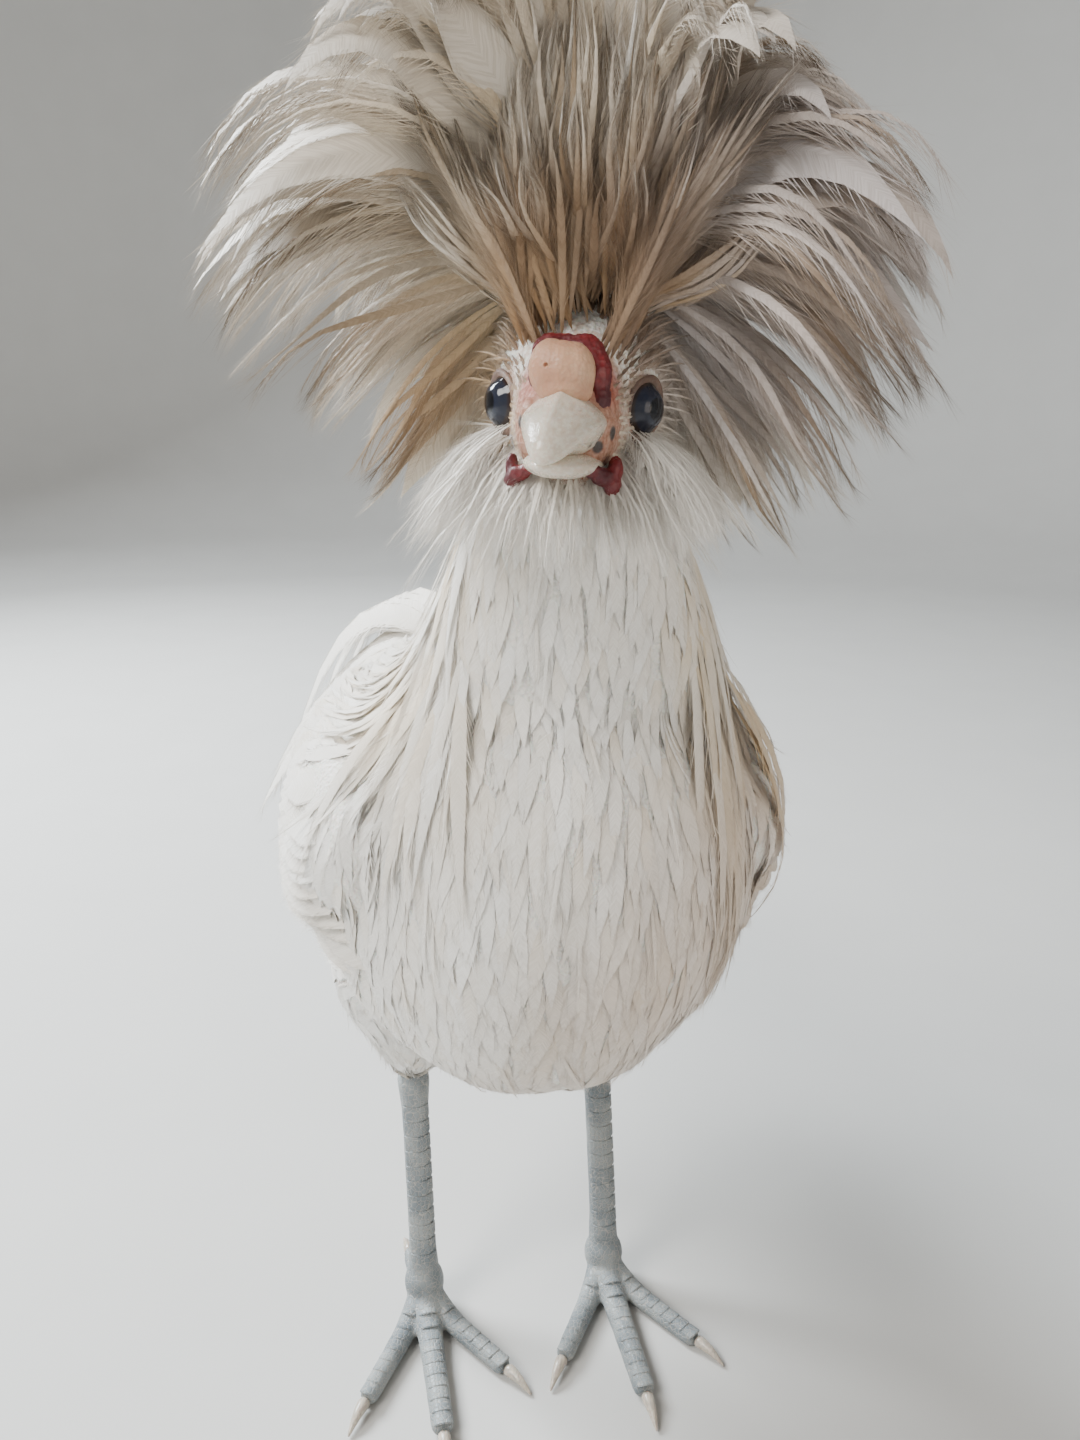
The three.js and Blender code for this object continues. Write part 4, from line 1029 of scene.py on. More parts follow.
def shank_rings(sign):
    for k in range(SHANK_RINGS + 1):
        share = k / SHANK_RINGS
        y, z = shank_at(share)
        knee = 1.6 * math.exp(-((share / 0.12) ** 2))
        foot = 1.2 * math.exp(-(((1 - share) / 0.1) ** 2))
        radius = SHANK_RADIUS + (knee + foot) + 0.12 * (-1) ** k
        yield sign * LEG_SIDE, y, z, radius * 0.94, radius


def toe_rings(length, radius):
    """A pad between each two joints, and a thick root."""
    joints = round(length / 4.5)
    for k in range(joints + 1):
        share = k / joints
        full = (radius + 1.3 * (1 - share) ** 3) * (1.04 if k % 2 else 0.95)
        thin, middle = toe_section(share, full)
        yield 0, -length * share, middle, thin, thin * 0.9


def leg(side, sign):
    pieces = [ring_form("shank", list(shank_rings(sign)), 12, body, level=True, rounds=1)]
    for name, turn, length, radius in TOES:
        rings = list(toe_rings(length, radius))
        pieces.append(ring_form("toe", rings, 10, toe_frame(sign, turn), rounds=1))
    pieces.append(ball_form("ankle", (sign * LEG_SIDE, ANKLE[0], 11.5), (7.0, 7.2, 8.6), body))
    whole = joined(pieces)
    whole.name = f"leg_{side}"
    modify(whole, "REMESH", mode="VOXEL", voxel_size=0.8 * MM)
    modify(whole, "SMOOTH", factor=0.5, iterations=2)
    for vertex in whole.data.vertices:
        vertex.co.z = max(vertex.co.z, 0)
    return finished(whole, shank_skin, "shank_skin", f"shank_{side}", f"foot_{side}")


# %% One scute and one claw
fresh_start()
bpy.ops.mesh.primitive_grid_add(x_subdivisions=6, y_subdivisions=5, size=MM)
scute = bpy.context.active_object
scute.name = "scute"
bpy.ops.object.mode_set(mode="EDIT")
bpy.ops.mesh.select_all(action="SELECT")
bpy.ops.mesh.extrude_region_move(TRANSFORM_OT_translate={"value": (0, 0, 0.12 * MM)})
bpy.ops.transform.resize(value=(0.86, 0.86, 1), center_override=(0, 0, 0))
bpy.ops.mesh.select_all(action="SELECT")
bpy.ops.mesh.normals_make_consistent(inside=False)
bpy.ops.object.mode_set(mode="OBJECT")
scute.data.materials.append(shank_skin)
scute_shape = np.array([v.co for v in scute.data.vertices]) / MM
claw = ring_form(
    "claw",
    [(0, 0, 3.2, 2.3, 2.3), (0, -3, 3.6, 2.1, 2.1), (0, -6.5, 3.3, 1.5, 1.6),
     (0, -9.5, 2.2, 0.9, 1.0), (0, -12, 0.8, 0.35, 0.4)],
    10, Matrix.Identity(4),
)


# %% Scutes bent over a limb
SCUTE_WRAP = 2.2  # radians of the limb that a scute covers
SCUTE_SLOPE = 0.25  # how far its lower edge stands off, in millimetres


def scutes_on(limb, places):
    """Scutes joined to a limb, each (middle, way down the limb, out, half width, length)."""
    copies = []
    for middle, down, out, half, length in places:
        copy = copied(scute, "scute copy")
        across = out.cross(down).normalized()
        for vertex, (x, y, z) in zip(copy.data.vertices, scute_shape):
            bow = half * (1 - math.cos(SCUTE_WRAP * x))
            rounding = 1 - 0.5 * (2 * x) ** 2 * (y > 0)
            sideways = math.sin(SCUTE_WRAP * x) / math.sin(SCUTE_WRAP / 2) * half
            lift = (z * 3 + SCUTE_SLOPE * y) * MM
            vertex.co = middle + across * sideways
            vertex.co += down * (y * length * rounding) - out * bow + out * lift
        copies.append(copy)
    joined([limb, *copies])
    print(limb.name, "with", len(places), "scutes")


# %% Where the scutes lie
SHANK_SCUTES = 13


def shank_places(sign):
    axis = body.to_3x3()
    for k in range(SHANK_SCUTES):
        here, below = (
            Vector((sign * LEG_SIDE, *shank_at((k + step) / (SHANK_SCUTES + 1))))
            for step in (0.7, 1.7)
        )
        down = (axis @ (below - here)).normalized()
        out = axis @ Vector((0, -1, 0.2))
        out = (out - down * out.dot(down)).normalized()
        yield body @ (here * MM) + out * 5.15 * MM, down, out, 4.6 * MM, 5.6 * MM


def toe_places(sign, turn, length, radius):
    frame_of_toe = toe_frame(sign, turn)
    ahead = frame_of_toe.to_3x3() @ Vector((0, -1, 0))
    count = round(length / 4.6)
    for k in range(2, count):
        share = (k + 0.4) / count
        thin, middle = toe_section(share, radius)
        spot = frame_of_toe @ (Vector((0, -length * share, middle + thin * 0.88)) * MM)
        yield spot, ahead, Vector((0, 0, 1)), 0.78 * thin * MM, 5.2 * MM


# %% Both legs
for side, sign in SIDES:
    limb = leg(side, sign)
    places = list(shank_places(sign))
    for name, turn, length, radius in TOES:
        places += toe_places(sign, turn, length, radius)
        nail = copied(claw, f"claw_{side}_{name}.horn")
        reach = Matrix.Translation(Vector((0, -length + 0.6, 0)) * MM)
        size = Matrix.Scale(0.9 if name == "hind" else 1, 4)
        nail.data.transform(toe_frame(sign, turn) @ reach @ size)
        finished(nail, claw_horn, "claw_horn", f"claw_{side}_{name}")
    scutes_on(limb, places)
bpy.data.objects.remove(scute)
bpy.data.objects.remove(claw)

# %% [markdown]
# ## Where the small feathers grow
# Small feathers cover the skin evenly and lie along the body: down the neck and the breast,
# back along the flanks and the belly, down the thighs. Places are drawn at random over the
# skin, and one that falls too near another is dropped, which spreads them as real ones are.

# %% The skin as a surface to search
skin.data.calc_loop_triangles()
skin_points = np.array([v.co for v in skin.data.vertices])
skin_faces = np.array([t.vertices for t in skin.data.loop_triangles])
skin_tree = BVHTree.FromPolygons(skin_points.tolist(), skin_faces.tolist())
to_body = np.array(body.inverted())
to_head = np.array(head.inverted())
body_turn = np.array(body)[:3, :3]


def seen_from(matrix, points):
    """Points in a frame, in millimetres."""
    return (np.asarray(points) @ matrix[:3, :3].T + matrix[:3, 3]) / MM


def unit(ways):
    return ways / np.linalg.norm(ways, axis=1, keepdims=True)


print("surface to grow on:", len(skin_faces), "triangles")


# %% Scatter places over the skin
TRIES = 5  # candidates for each feather that there is room for


def scattered(spacing, keep, seed):
    """Random places on the skin that are kept, none nearer than the spacing in millimetres."""
    rng = np.random.default_rng(seed)
    corners = skin_points[skin_faces]
    normals = np.cross(corners[:, 1] - corners[:, 0], corners[:, 2] - corners[:, 0])
    area = np.linalg.norm(normals, axis=1)
    count = int(area.sum() / 2 / (spacing * MM) ** 2 * TRIES)
    pick = rng.choice(len(area), count, p=area / area.sum())
    a, b = rng.random((2, count, 1))
    a, b = np.where(a + b > 1, 1 - a, a), np.where(a + b > 1, 1 - b, b)
    c = corners[pick]
    spots = c[:, 0] + a * (c[:, 1] - c[:, 0]) + b * (c[:, 2] - c[:, 0])
    outs = normals[pick] / area[pick][:, None]
    inside = keep(spots)
    spots, outs = spots[inside], outs[inside]
    cells, chosen = {}, []
    step = spacing * MM
    keys = np.floor(spots / step).astype(int)
    for i, (x, y, z) in enumerate(keys):
        near = [
            j for dx in (-1, 0, 1) for dy in (-1, 0, 1) for dz in (-1, 0, 1)
            for j in cells.get((x + dx, y + dy, z + dz), ())
        ]
        if near and min(np.sum((spots[near] - spots[i]) ** 2, 1)) < step**2:
            continue
        cells.setdefault((x, y, z), []).append(i)
        chosen.append(i)
    return spots[chosen], outs[chosen]


# %% Walk along the skin
def lie_of(points):
    """The way that the coat runs at each place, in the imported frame."""
    p = seen_from(to_body, points)
    back = ramp(p[:, 1], -62, -2)
    on_neck = np.maximum(back * 0.3, ramp(p[:, 1], -20, 10))
    back = np.where(p[:, 2] > 250, on_neck, back)
    leg_down = ramp(p[:, 2], 150, 125) * (np.abs(p[:, 0]) > 18) * (p[:, 1] < 60)
    flow = np.stack([0.0 * back, 0.12 + 0.95 * back, -1 + 0.78 * back], 1)
    flow[:, 1] *= 1 - leg_down
    flow[:, 2] = flow[:, 2] * (1 - leg_down) - leg_down
    return flow @ body_turn.T


ROOT_DEPTH = 0.3
CLEARANCE = 0.35  # how far a feather's middle line keeps off the skin
DRAPE = 30  # how high over the skin a feather may find something to lie on


def walked(spots, outs, lengths, lifts, stray=0.12, seed=3, steps=4, over=None):
    """Root, bend and tip of feathers that follow the skin, or drape over a tree of surfaces."""
    rng = np.random.default_rng(seed)
    place, normal = spots.copy(), outs.copy()
    drift = rng.normal(0, stray, (len(spots), 3))
    track = [place - ROOT_DEPTH * MM * normal]
    for step in range(steps):
        flow = lie_of(place) + drift
        flow -= (flow * normal).sum(1, keepdims=True) * normal
        flow /= np.linalg.norm(flow, axis=1, keepdims=True) + 1e-9
        ahead = place + flow * (lengths * MM / steps)[:, None]
        for i, point in enumerate(ahead):
            hit, out, _, _ = skin_tree.find_nearest(Vector(point))
            if over is not None:
                above = Vector(hit) + DRAPE * MM * out
                top, _, _, _ = over.ray_cast(above, -out, DRAPE * MM)
                hit = top or hit
                out = (out + Vector(normal[i])).normalized()
            place[i], normal[i] = hit, out
        off = (CLEARANCE + lifts * (step + 1) / steps) * MM
        track.append(place + normal * off[:, None])
    middle = track[steps // 2]
    bend = 2 * middle - (track[0] + track[-1]) / 2
    return track[0], bend, track[-1], normal.copy()


# %% [markdown]
# ## The body coat
# The breast is the largest white area of the photo: soft and silky, with only a few tips that
# stand out as small pale commas. So the feathers lie close, and the light follows the folds of
# the skin under them. They are shortest on the neck, longer on the back and loose on the
# thighs. Some loose wisps lie over them. On the bird's left the neck is golden.

# %% Regions of the body coat
def wing_share(points):
    """Below 1 inside the shield of a wing."""
    p = seen_from(to_body, points)
    p = p - [0, WING_PLACE[1], WING_PLACE[2]]
    tilt = math.radians(WING_TILT)
    y = p[:, 1] * math.cos(tilt) + p[:, 2] * math.sin(tilt)
    z = -p[:, 1] * math.sin(tilt) + p[:, 2] * math.cos(tilt)
    x = np.abs(p[:, 0]) - WING_PLACE[0]
    return (x / WING_RADIUS[0]) ** 2 + (y / WING_RADIUS[1]) ** 2 + (z / WING_RADIUS[2]) ** 2


def coat_region(low, high, first, last):
    """A test for places between two heights and two depths, off the wings and the head."""
    def keep(points):
        p, h = seen_from(to_body, points), seen_from(to_head, points)
        inside = (p[:, 2] >= low) & (p[:, 2] < high) & (wing_share(points) > 0.86)
        inside &= (p[:, 1] >= first) & (p[:, 1] < last)
        bare = (h[:, 2] > -14) & (h[:, 1] < 60) & (p[:, 2] > 255)
        return inside & ~bare
    return keep


# %% Lay the body coat
FAR = 1000
COAT_THICK, COAT_CUP = 0.07, 0.02
WISP_SHARE = 0.07  # of the feathers, this many carry a loose wisp
COAT = [
    # name, (low, high, first, last), spacing, length, width, lift, seed
    ("coat_neck", (240, 330, -FAR, FAR), 3.3, 20, 5.4, 0.3, 11),
    ("coat_breast", (60, 240, -FAR, 0), 3.9, 28, 6.6, 0.28, 12),
    ("coat_back", (60, 240, 0, FAR), 4.6, 28, 10, 1.1, 13),
]
for name, region, spacing, length, width, lift, seed in COAT:
    spots, outs = scattered(spacing, coat_region(*region), seed)
    rng = np.random.default_rng(seed)
    count = len(spots)
    p = seen_from(to_body, spots)
    loose = ramp(p[:, 2], 130, 90) * (np.abs(p[:, 0]) > 20)
    lengths = length * rng.uniform(0.75, 1.2, count) * (1 - 0.25 * loose)
    lifts = lift * rng.uniform(0.7, 1.3, count) * (1 + 0.6 * loose)
    root, bend, tip, face = walked(spots, outs, lengths, lifts, 0.13, seed)
    over_rump = ramp(p[:, 1:2], 72, 94) * MM
    bend = bend + over_rump * (body_turn @ [0, 5, 1])
    tip = tip + over_rump * (body_turn @ [0, 20, -1])
    golden = 0.55 * ramp(p[:, 0], 15, 25) + 0.25 * ramp(p[:, 0], -14, -24)
    warm = 0.1 + 0.12 * rng.normal(size=count) + golden * ramp(p[:, 2], 225, 245)
    warm = np.clip(warm, 0, 0.8)
    widths = width * rng.uniform(0.8, 1.15, count) * (1 - 0.2 * loose)
    coat = laid(
        contour_kinds, root, bend, tip, face, widths, COAT_THICK, COAT_CUP, warm, 0.0, seed,
        soft=(outs, face),
    )
    wisps = rng.random(count) < WISP_SHARE
    off = face[wisps] * MM
    coat += laid(
        wisp_kinds, root[wisps], bend[wisps] + off * 0.6, tip[wisps] + off * 1.3, face[wisps],
        widths[wisps] * 0.7, 0.12, 0.1, warm[wisps], 0.0, seed + 50,
    )
    as_mesh(name, coat, plumage)

# %% [markdown]
# ## Beard, muffs and face
# White fluff radiates from under the bill over the throat and cheeks, shortest at the bill and
# longest at the jaw. Round the bill and the eyes the face has short down, and longer fluff
# stands on the cheeks behind the eyes. Both are darker above, where shade of the crest is
# painted on them, and pale below. The curves start on the head and fan out and down, and the
# barbs are loose.

# %% From the head's frame to the imported frame
def head_points(values):
    """Points of the head's frame, in millimetres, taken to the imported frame."""
    matrix = np.array(head)
    return (np.asarray(values, float) * MM) @ matrix[:3, :3].T + matrix[:3, 3]


def head_ways(values):
    return np.asarray(values, float) @ np.array(head)[:3, :3].T


def heading(azimuth):
    """Level directions: the nose at 0, the bird's left at 90 degrees, given in radians."""
    return np.stack([np.sin(azimuth), -np.cos(azimuth), 0 * azimuth], 1)


UP = np.array([0, 0, 1.0])

# %% Beard and muffs
RUFF_ROWS, RUFF_COUNT = 5, 100
RUFF_TURN = 132  # how far round the head the ruff goes, in degrees
# Reach and height of root, bend and tip, in the first and in the last row.
RUFF_OUT = [(10, 20, 25), (13, 25, 29)]
RUFF_LOW = [(-11, -14, -25), (-3, -8, -19)]
rng = np.random.default_rng(21)
ruff = []
for row in range(RUFF_ROWS):
    share = row / (RUFF_ROWS - 1)
    count = RUFF_COUNT
    azimuth = np.radians(rng.uniform(-1, 1, count) * RUFF_TURN)
    if row > 2:
        azimuth = np.sign(azimuth) * np.radians(rng.uniform(46, 128, count))
    out = heading(azimuth)
    radii = [np.interp(share, (0, 1), pair) for pair in zip(*RUFF_OUT)]
    lows = [np.interp(share, (0, 1), pair) for pair in zip(*RUFF_LOW)]
    ways = []
    for k in range(3):
        rough = 1 + 0.08 * k * rng.normal(size=(count, 1))
        ways.append(np.array([0, 3, 0]) + out * radii[k] * rough + UP * lows[k] * rough)
    ruff += laid(
        fluff_kinds, *map(head_points, ways), head_ways(out + 0.5 * UP),
        rng.uniform(5, 10, count), 0.1, 0.1, 0.12, 0.08, 31 + row, rng.uniform(-2.5, 2.5, count),
    )
as_mesh("beard_and_muffs", ruff, plumage, ("beard", "muff_left", "muff_right"))


# %% Regions of the face
BILL_MIDDLE = (0, -22, -4)


def eye_gap(points):
    """How far places of the head's frame are from the nearer eye."""
    return np.minimum(*[
        np.linalg.norm(points - on_eye_axis(sign, 3), axis=1) for sign in (1, -1)
    ])


def face_lie(points):
    """On the face the coat runs from the bill out and back."""
    h = seen_from(to_head, points)
    flow = h - [0, -26, -4]
    flow[:, 2] = np.where(h[:, 2] > 8, flow[:, 2] * 0.6 + 8, flow[:, 2])
    return head_ways(unit(flow))


def face_region(points):
    h = seen_from(to_head, points)
    bill_gap = np.linalg.norm(h - BILL_MIDDLE, axis=1)
    comb_gap = np.linalg.norm((h - [0, -14, 10]) / [9, 9, 10], axis=1)
    area = (h[:, 2] > -16) & (h[:, 2] < 26) & (h[:, 1] < 20)
    return area & (eye_gap(h) > 6.3) & (bill_gap > 12.5) & (comb_gap > 1)


def cheek_region(points):
    h = seen_from(to_head, points)
    area = (h[:, 2] > -15) & (h[:, 2] < 18) & (h[:, 1] > -6) & (h[:, 1] < 20)
    return area & (np.abs(h[:, 0]) > 6) & (eye_gap(h) > 7.2)


# %% Short down on the face
DOWN_SPACING, DOWN_ROOT = 1.3, 0.4
spots, outs = scattered(DOWN_SPACING, face_region, 41)
rng = np.random.default_rng(41)
flow = face_lie(spots)
flow = unit(flow - (flow * outs).sum(1, keepdims=True) * outs)
h = seen_from(to_head, spots)
near_bill = ramp(np.linalg.norm(h - BILL_MIDDLE, axis=1), 26, 14)
sizes = rng.uniform(0.8, 1.2, len(spots)) * (9 - 4.8 * near_bill)
root = spots - outs * DOWN_ROOT * MM
off = rng.uniform(0.1, 0.7, len(spots)) * MM
tip = spots + flow * (sizes * MM)[:, None] + outs * off[:, None]
bend = (root + tip) / 2 + outs * 0.3 * MM
# The down darkens towards the top of the face: painted shade under the crest.
warm, smoke_and_shade = 0.2 + 0.3 * near_bill, 0.25 + 0.7 * ramp(h[:, 2], -2, 6)
fluff = laid(
    down_kinds, root, bend, tip, outs, 0.6 + sizes * 0.24, 0.1, 0.1, warm, smoke_and_shade, 43
)

# %% Longer fluff on the cheeks
CHEEK_SPACING, CHEEK_LENGTH = 2.1, 12
spots, outs = scattered(CHEEK_SPACING, cheek_region, 44)
rng = np.random.default_rng(44)
flow = unit(face_lie(spots) + outs * 0.3 + rng.normal(0, 0.15, spots.shape))
h = seen_from(to_head, spots)
sizes = rng.uniform(0.7, 1.2, len(spots)) * CHEEK_LENGTH
root = spots - outs * DOWN_ROOT * MM
bend = spots + (0.7 * flow + 0.15 * outs) * (sizes * MM)[:, None] * 0.6
droop = head_ways(np.array([[0, 3, -3]])) * MM
tip = spots + flow * (sizes * MM)[:, None] + droop
# The cheek fluff darkens above: painted shade under the crest.
smoke_and_shade = 0.2 + 0.6 * ramp(h[:, 2], -2, 6)
golden = np.where(h[:, 0] < 0, 0.6, 0.2)
wide = 4 + rng.random(len(spots))
fluff += laid(fluff_kinds, root, bend, tip, outs, wide, 0.08, 0.1, golden, smoke_and_shade, 46)
as_mesh("face_fluff", fluff, crest_plumage)

# %% [markdown]
# ## The crest
# The crest springs from a bulb on the skull, rises and arches over on all sides like a
# fountain. In the photo its back is made of broad white feathers, and in front of them lie
# narrow pointed ones, cream at the base and smoked at the tips, with barbs loose like hair.
# Seven tiers, given by how far and how high their tips stand, are blended into a full coat.
# Feathers that lean to the nearest of some leaders make the locks.

# %% Crest tiers
CREST_TIERS = np.array([
    # count, open angle, reach, rise
    (7, 84, 44, -44), (9, 68, 60, -31), (10, 56, 71, -11), (10, 40, 70, 12),
    (9, 22, 50, 33), (6, 10, 30, 48), (3, 0, 10, 56),
])
CREST_COUNT = 820
CREST_FALL, CREST_SHORTER = 7, 0.05  # the crest is lower and shorter on the bird's left
STRAYS = 0.06  # how much further a few loose feathers reach
knob = np.array(CREST_KNOB)


def crest_curves(azimuth, reach, rise, rng):
    out = heading(azimuth)
    side = np.cross(UP, out)
    left = np.maximum(out[:, :1], 0)
    uneven = 0.06 * rng.normal(size=(len(reach), 1)).clip(-1.3, 1.0)
    far = reach[:, None] * (1 + uneven - CREST_SHORTER * left)
    high = rise[:, None] - (rise[:, None] < 40) * CREST_FALL * left
    high = high + 4 * rng.uniform(-1, 1, high.shape)
    sway = 8 * rng.uniform(-1, 1, high.shape)
    start = np.arctan2(high + 0.55 * far, 0.8 * far)
    root = knob + out * 14 * np.cos(start) + UP * 12 * np.sin(start)
    bend = knob + out * 0.72 * far + UP * (high + 0.46 * far) + side * 0.3 * sway
    tip = knob + out * far + UP * high + side * sway
    face = unit(bend - knob) + side * 0.35 * rng.uniform(-1, 1, high.shape)
    face[:, 1] -= np.where(out[:, 1] < 0.3, 0.8, 0)
    return root, bend, tip, face


def in_locks(curves, locks, pull, rng):
    """Gathers feathers into locks: each leans to the nearest of some leaders."""
    root, bend, tip, face = curves
    leaders = rng.choice(len(tip), locks, replace=False)
    gaps = np.linalg.norm(tip[:, None] - tip[leaders][None], axis=2)
    chief = leaders[np.argmin(gaps, axis=1)]
    bend = bend + 0.45 * pull * (bend[chief] - bend)
    return [root, bend, tip + pull * (tip[chief] - tip), face]


# %% Where each crest feather stands and how it looks
rng = np.random.default_rng(61)
weights = CREST_TIERS[:, 0] / CREST_TIERS[:, 0].sum()
tier = rng.choice(len(CREST_TIERS), CREST_COUNT, p=weights) + rng.uniform(-0.5, 0.5, CREST_COUNT)
tier = np.clip(tier, 0, 6)
numbers = np.arange(len(CREST_TIERS))
_, opens, reach, rise = (np.interp(tier, numbers, column) for column in CREST_TIERS.T)
azimuth = np.radians(opens + (360 - 2 * opens) * rng.random(CREST_COUNT))
root, bend, tip, face = crest_curves(azimuth, reach, rise, rng)
front = np.clip(0.35 + 0.65 * np.cos(azimuth), 0, 1)
low = ramp(tier, 3.2, 0.2)
left = np.clip(np.sin(azimuth), 0, 1)
broad = rng.random(CREST_COUNT) < 0.62 - 0.5 * front - 0.25 * low
broad &= (tier > 2) | (np.cos(azimuth) < -0.3)
# Front and lower crest feathers are darker: partly real smoked tips, partly painted shade.
smoke_and_shade = np.clip(0.15 + 0.4 * front + 0.45 * low + 0.28 * rng.normal(size=CREST_COUNT), 0, 1)
smoke_and_shade *= np.where(broad, 0.25, 1) * np.where(rng.random(CREST_COUNT) < 0.3, 0.25, 1)
warm = 0.12 + 0.35 * front + 0.3 * low * (1 - left) + 0.12 * rng.normal(size=CREST_COUNT)
warm = np.clip(warm, 0, 0.95)
crest_width = np.where(broad, rng.uniform(14, 19, CREST_COUNT), rng.uniform(6, 9, CREST_COUNT))
print("crest feathers:", broad.sum(), "broad,", (~broad).sum(), "narrow")

# %% Lay the crest in locks
for name, chosen, kinds, pull, nodes, seed in (
    ("crest_broad", broad, broad_kinds, 0.25, ("crest",), 62),
    ("crest_lace", ~broad, lace_kinds, 0.7, (), 63),
):
    count = chosen.sum()
    curves = in_locks([c[chosen] for c in (root, bend, tip, face)], count // 6, pull, rng)
    stray = 1 + STRAYS * (rng.random((count, 1)) < 0.06)
    curves[1:3] = [knob + (c - knob) * stray for c in curves[1:3]]
    points = [*map(head_points, curves[:3]), head_ways(curves[3])]
    vanes = laid(
        kinds, *points, crest_width[chosen], 0.22, 0.1, warm[chosen], smoke_and_shade[chosen], seed,
        rng.uniform(-4, 4, count),
    )
    as_mesh(name, vanes, crest_plumage, nodes)

# %% Front of the crest
CREST_FRONT = [
    # count, spread, heights of root, bend and tip on the knob, reach of each, width
    (72, 68, (-16, 20, 48), (0.62, 1.35, 1.9), 6),
    (80, 54, (6, 36, 62), (0.62, 1.45, 2.2), 6.5),
    (72, 42, (18, 48, 72), (0.62, 1.5, 2.4), 7),
    (70, 80, (-24, 2, 24), (0.7, 1.3, 1.75), 6),
]
rng = np.random.default_rng(71)
tufts = []
for count, spread, heights, reaches, width in CREST_FRONT:
    azimuth = np.radians(rng.uniform(-spread, spread, count))
    line = []
    for k, (height, far) in enumerate(zip(heights, reaches)):
        lean = np.radians(height + rng.uniform(-7, 7, count))[:, None]
        out = heading(azimuth * (1 + 0.16 * k)) * np.cos(lean) + UP * np.sin(lean)
        far = far * rng.uniform(0.85, 1.12, (count, 1)) if k else far
        line.append(knob + out * np.array(CREST_RADIUS) * far)
    *line, face = in_locks([*line, line[1] - knob], count // 6, 0.7, rng)
    warm = np.clip(0.5 + 0.2 * rng.normal(size=count), 0, 1)
    smoke_and_shade = np.clip(0.45 + 0.35 * rng.normal(size=count), 0, 1)
    tufts += laid(
        lace_kinds, *map(head_points, line), head_ways(face), width * rng.uniform(0.8, 1.2, count),
        0.22, 0.12, warm, smoke_and_shade, 72 + len(tufts), rng.uniform(-3, 3, count),
    )

# %% Tufts beside and over the comb
TUFTS = [
    # low and high ends of root, bend and tip: over the eye, and behind the comb
    ((5, -12, 8), (12, -3, 17), (12, -17, 24), (21, -9, 36), (20, -15, 42), (38, -1, 60)),
    ((-8, -11, 11), (8, -1, 20), (-12, -16, 26), (12, -9, 38), (-18, -14, 40), (18, -3, 60)),
]
for sign, table, count, locks, pull in (
    (1, TUFTS[0], 50, 9, 0.6), (-1, TUFTS[0], 50, 9, 0.6), (1, TUFTS[1], 90, 30, 0.5)
):
    share = rng.random((count, 1))
    line = []
    for low, high in zip(table[::2], table[1::2]):
        low, high = np.array(low, float), np.array(high, float)
        spread = np.clip(share + 0.25 * rng.uniform(-1, 1, (count, 3)), 0, 1)
        line.append((low + (high - low) * spread) * [sign, 1, 1])
    *line, face = in_locks([*line, np.tile([0.3 * sign, -1, 0.3], (count, 1))], locks, pull, rng)
    warm, smoke_and_shade = rng.uniform(0.3, 0.8, count), rng.uniform(0.3, 1, count)
    tufts += laid(
        lace_kinds, *map(head_points, line), head_ways(face), rng.uniform(4.5, 7, count),
        0.2, 0.12, warm, smoke_and_shade, 95 + sign, rng.uniform(-2, 2, count),
    )
as_mesh("crest_front", tufts, crest_plumage)

# %% [markdown]
# ## Hackles and saddle
# A cockerel's hackles are long, narrow and pointed, and drape from the neck over the shoulders
# and the folded wings. In the photo they are cream to golden on the bird's left. Saddle
# feathers of the same kind hang from the back over the root of the tail.

# %% Regions of hackles and saddle
def behind_neck(points):
    p, h = seen_from(to_body, points), seen_from(to_head, points)
    azimuth = np.degrees(np.arctan2(np.abs(p[:, 0] - 3), -(p[:, 1] + 48)))
    side = np.where(p[:, 0] > 0, 46, 58)
    return (p[:, 2] > 247) & (h[:, 2] < -6) & (azimuth > side) & (p[:, 1] < 0)


def on_saddle(points):
    p = seen_from(to_body, points)
    return (p[:, 1] > 46) & (p[:, 2] > 204) & (wing_share(points) > 0.95)


def surfaces(*names):
    """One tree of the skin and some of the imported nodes, for feathers that drape over both."""
    points, faces = list(map(tuple, skin_points)), skin_faces.tolist()
    for key in names:
        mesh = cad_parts[key].data
        mesh.calc_loop_triangles()
        faces += [[v + len(points) for v in t.vertices] for t in mesh.loop_triangles]
        points += [tuple(v.co) for v in mesh.vertices]
    return BVHTree.FromPolygons(points, faces)


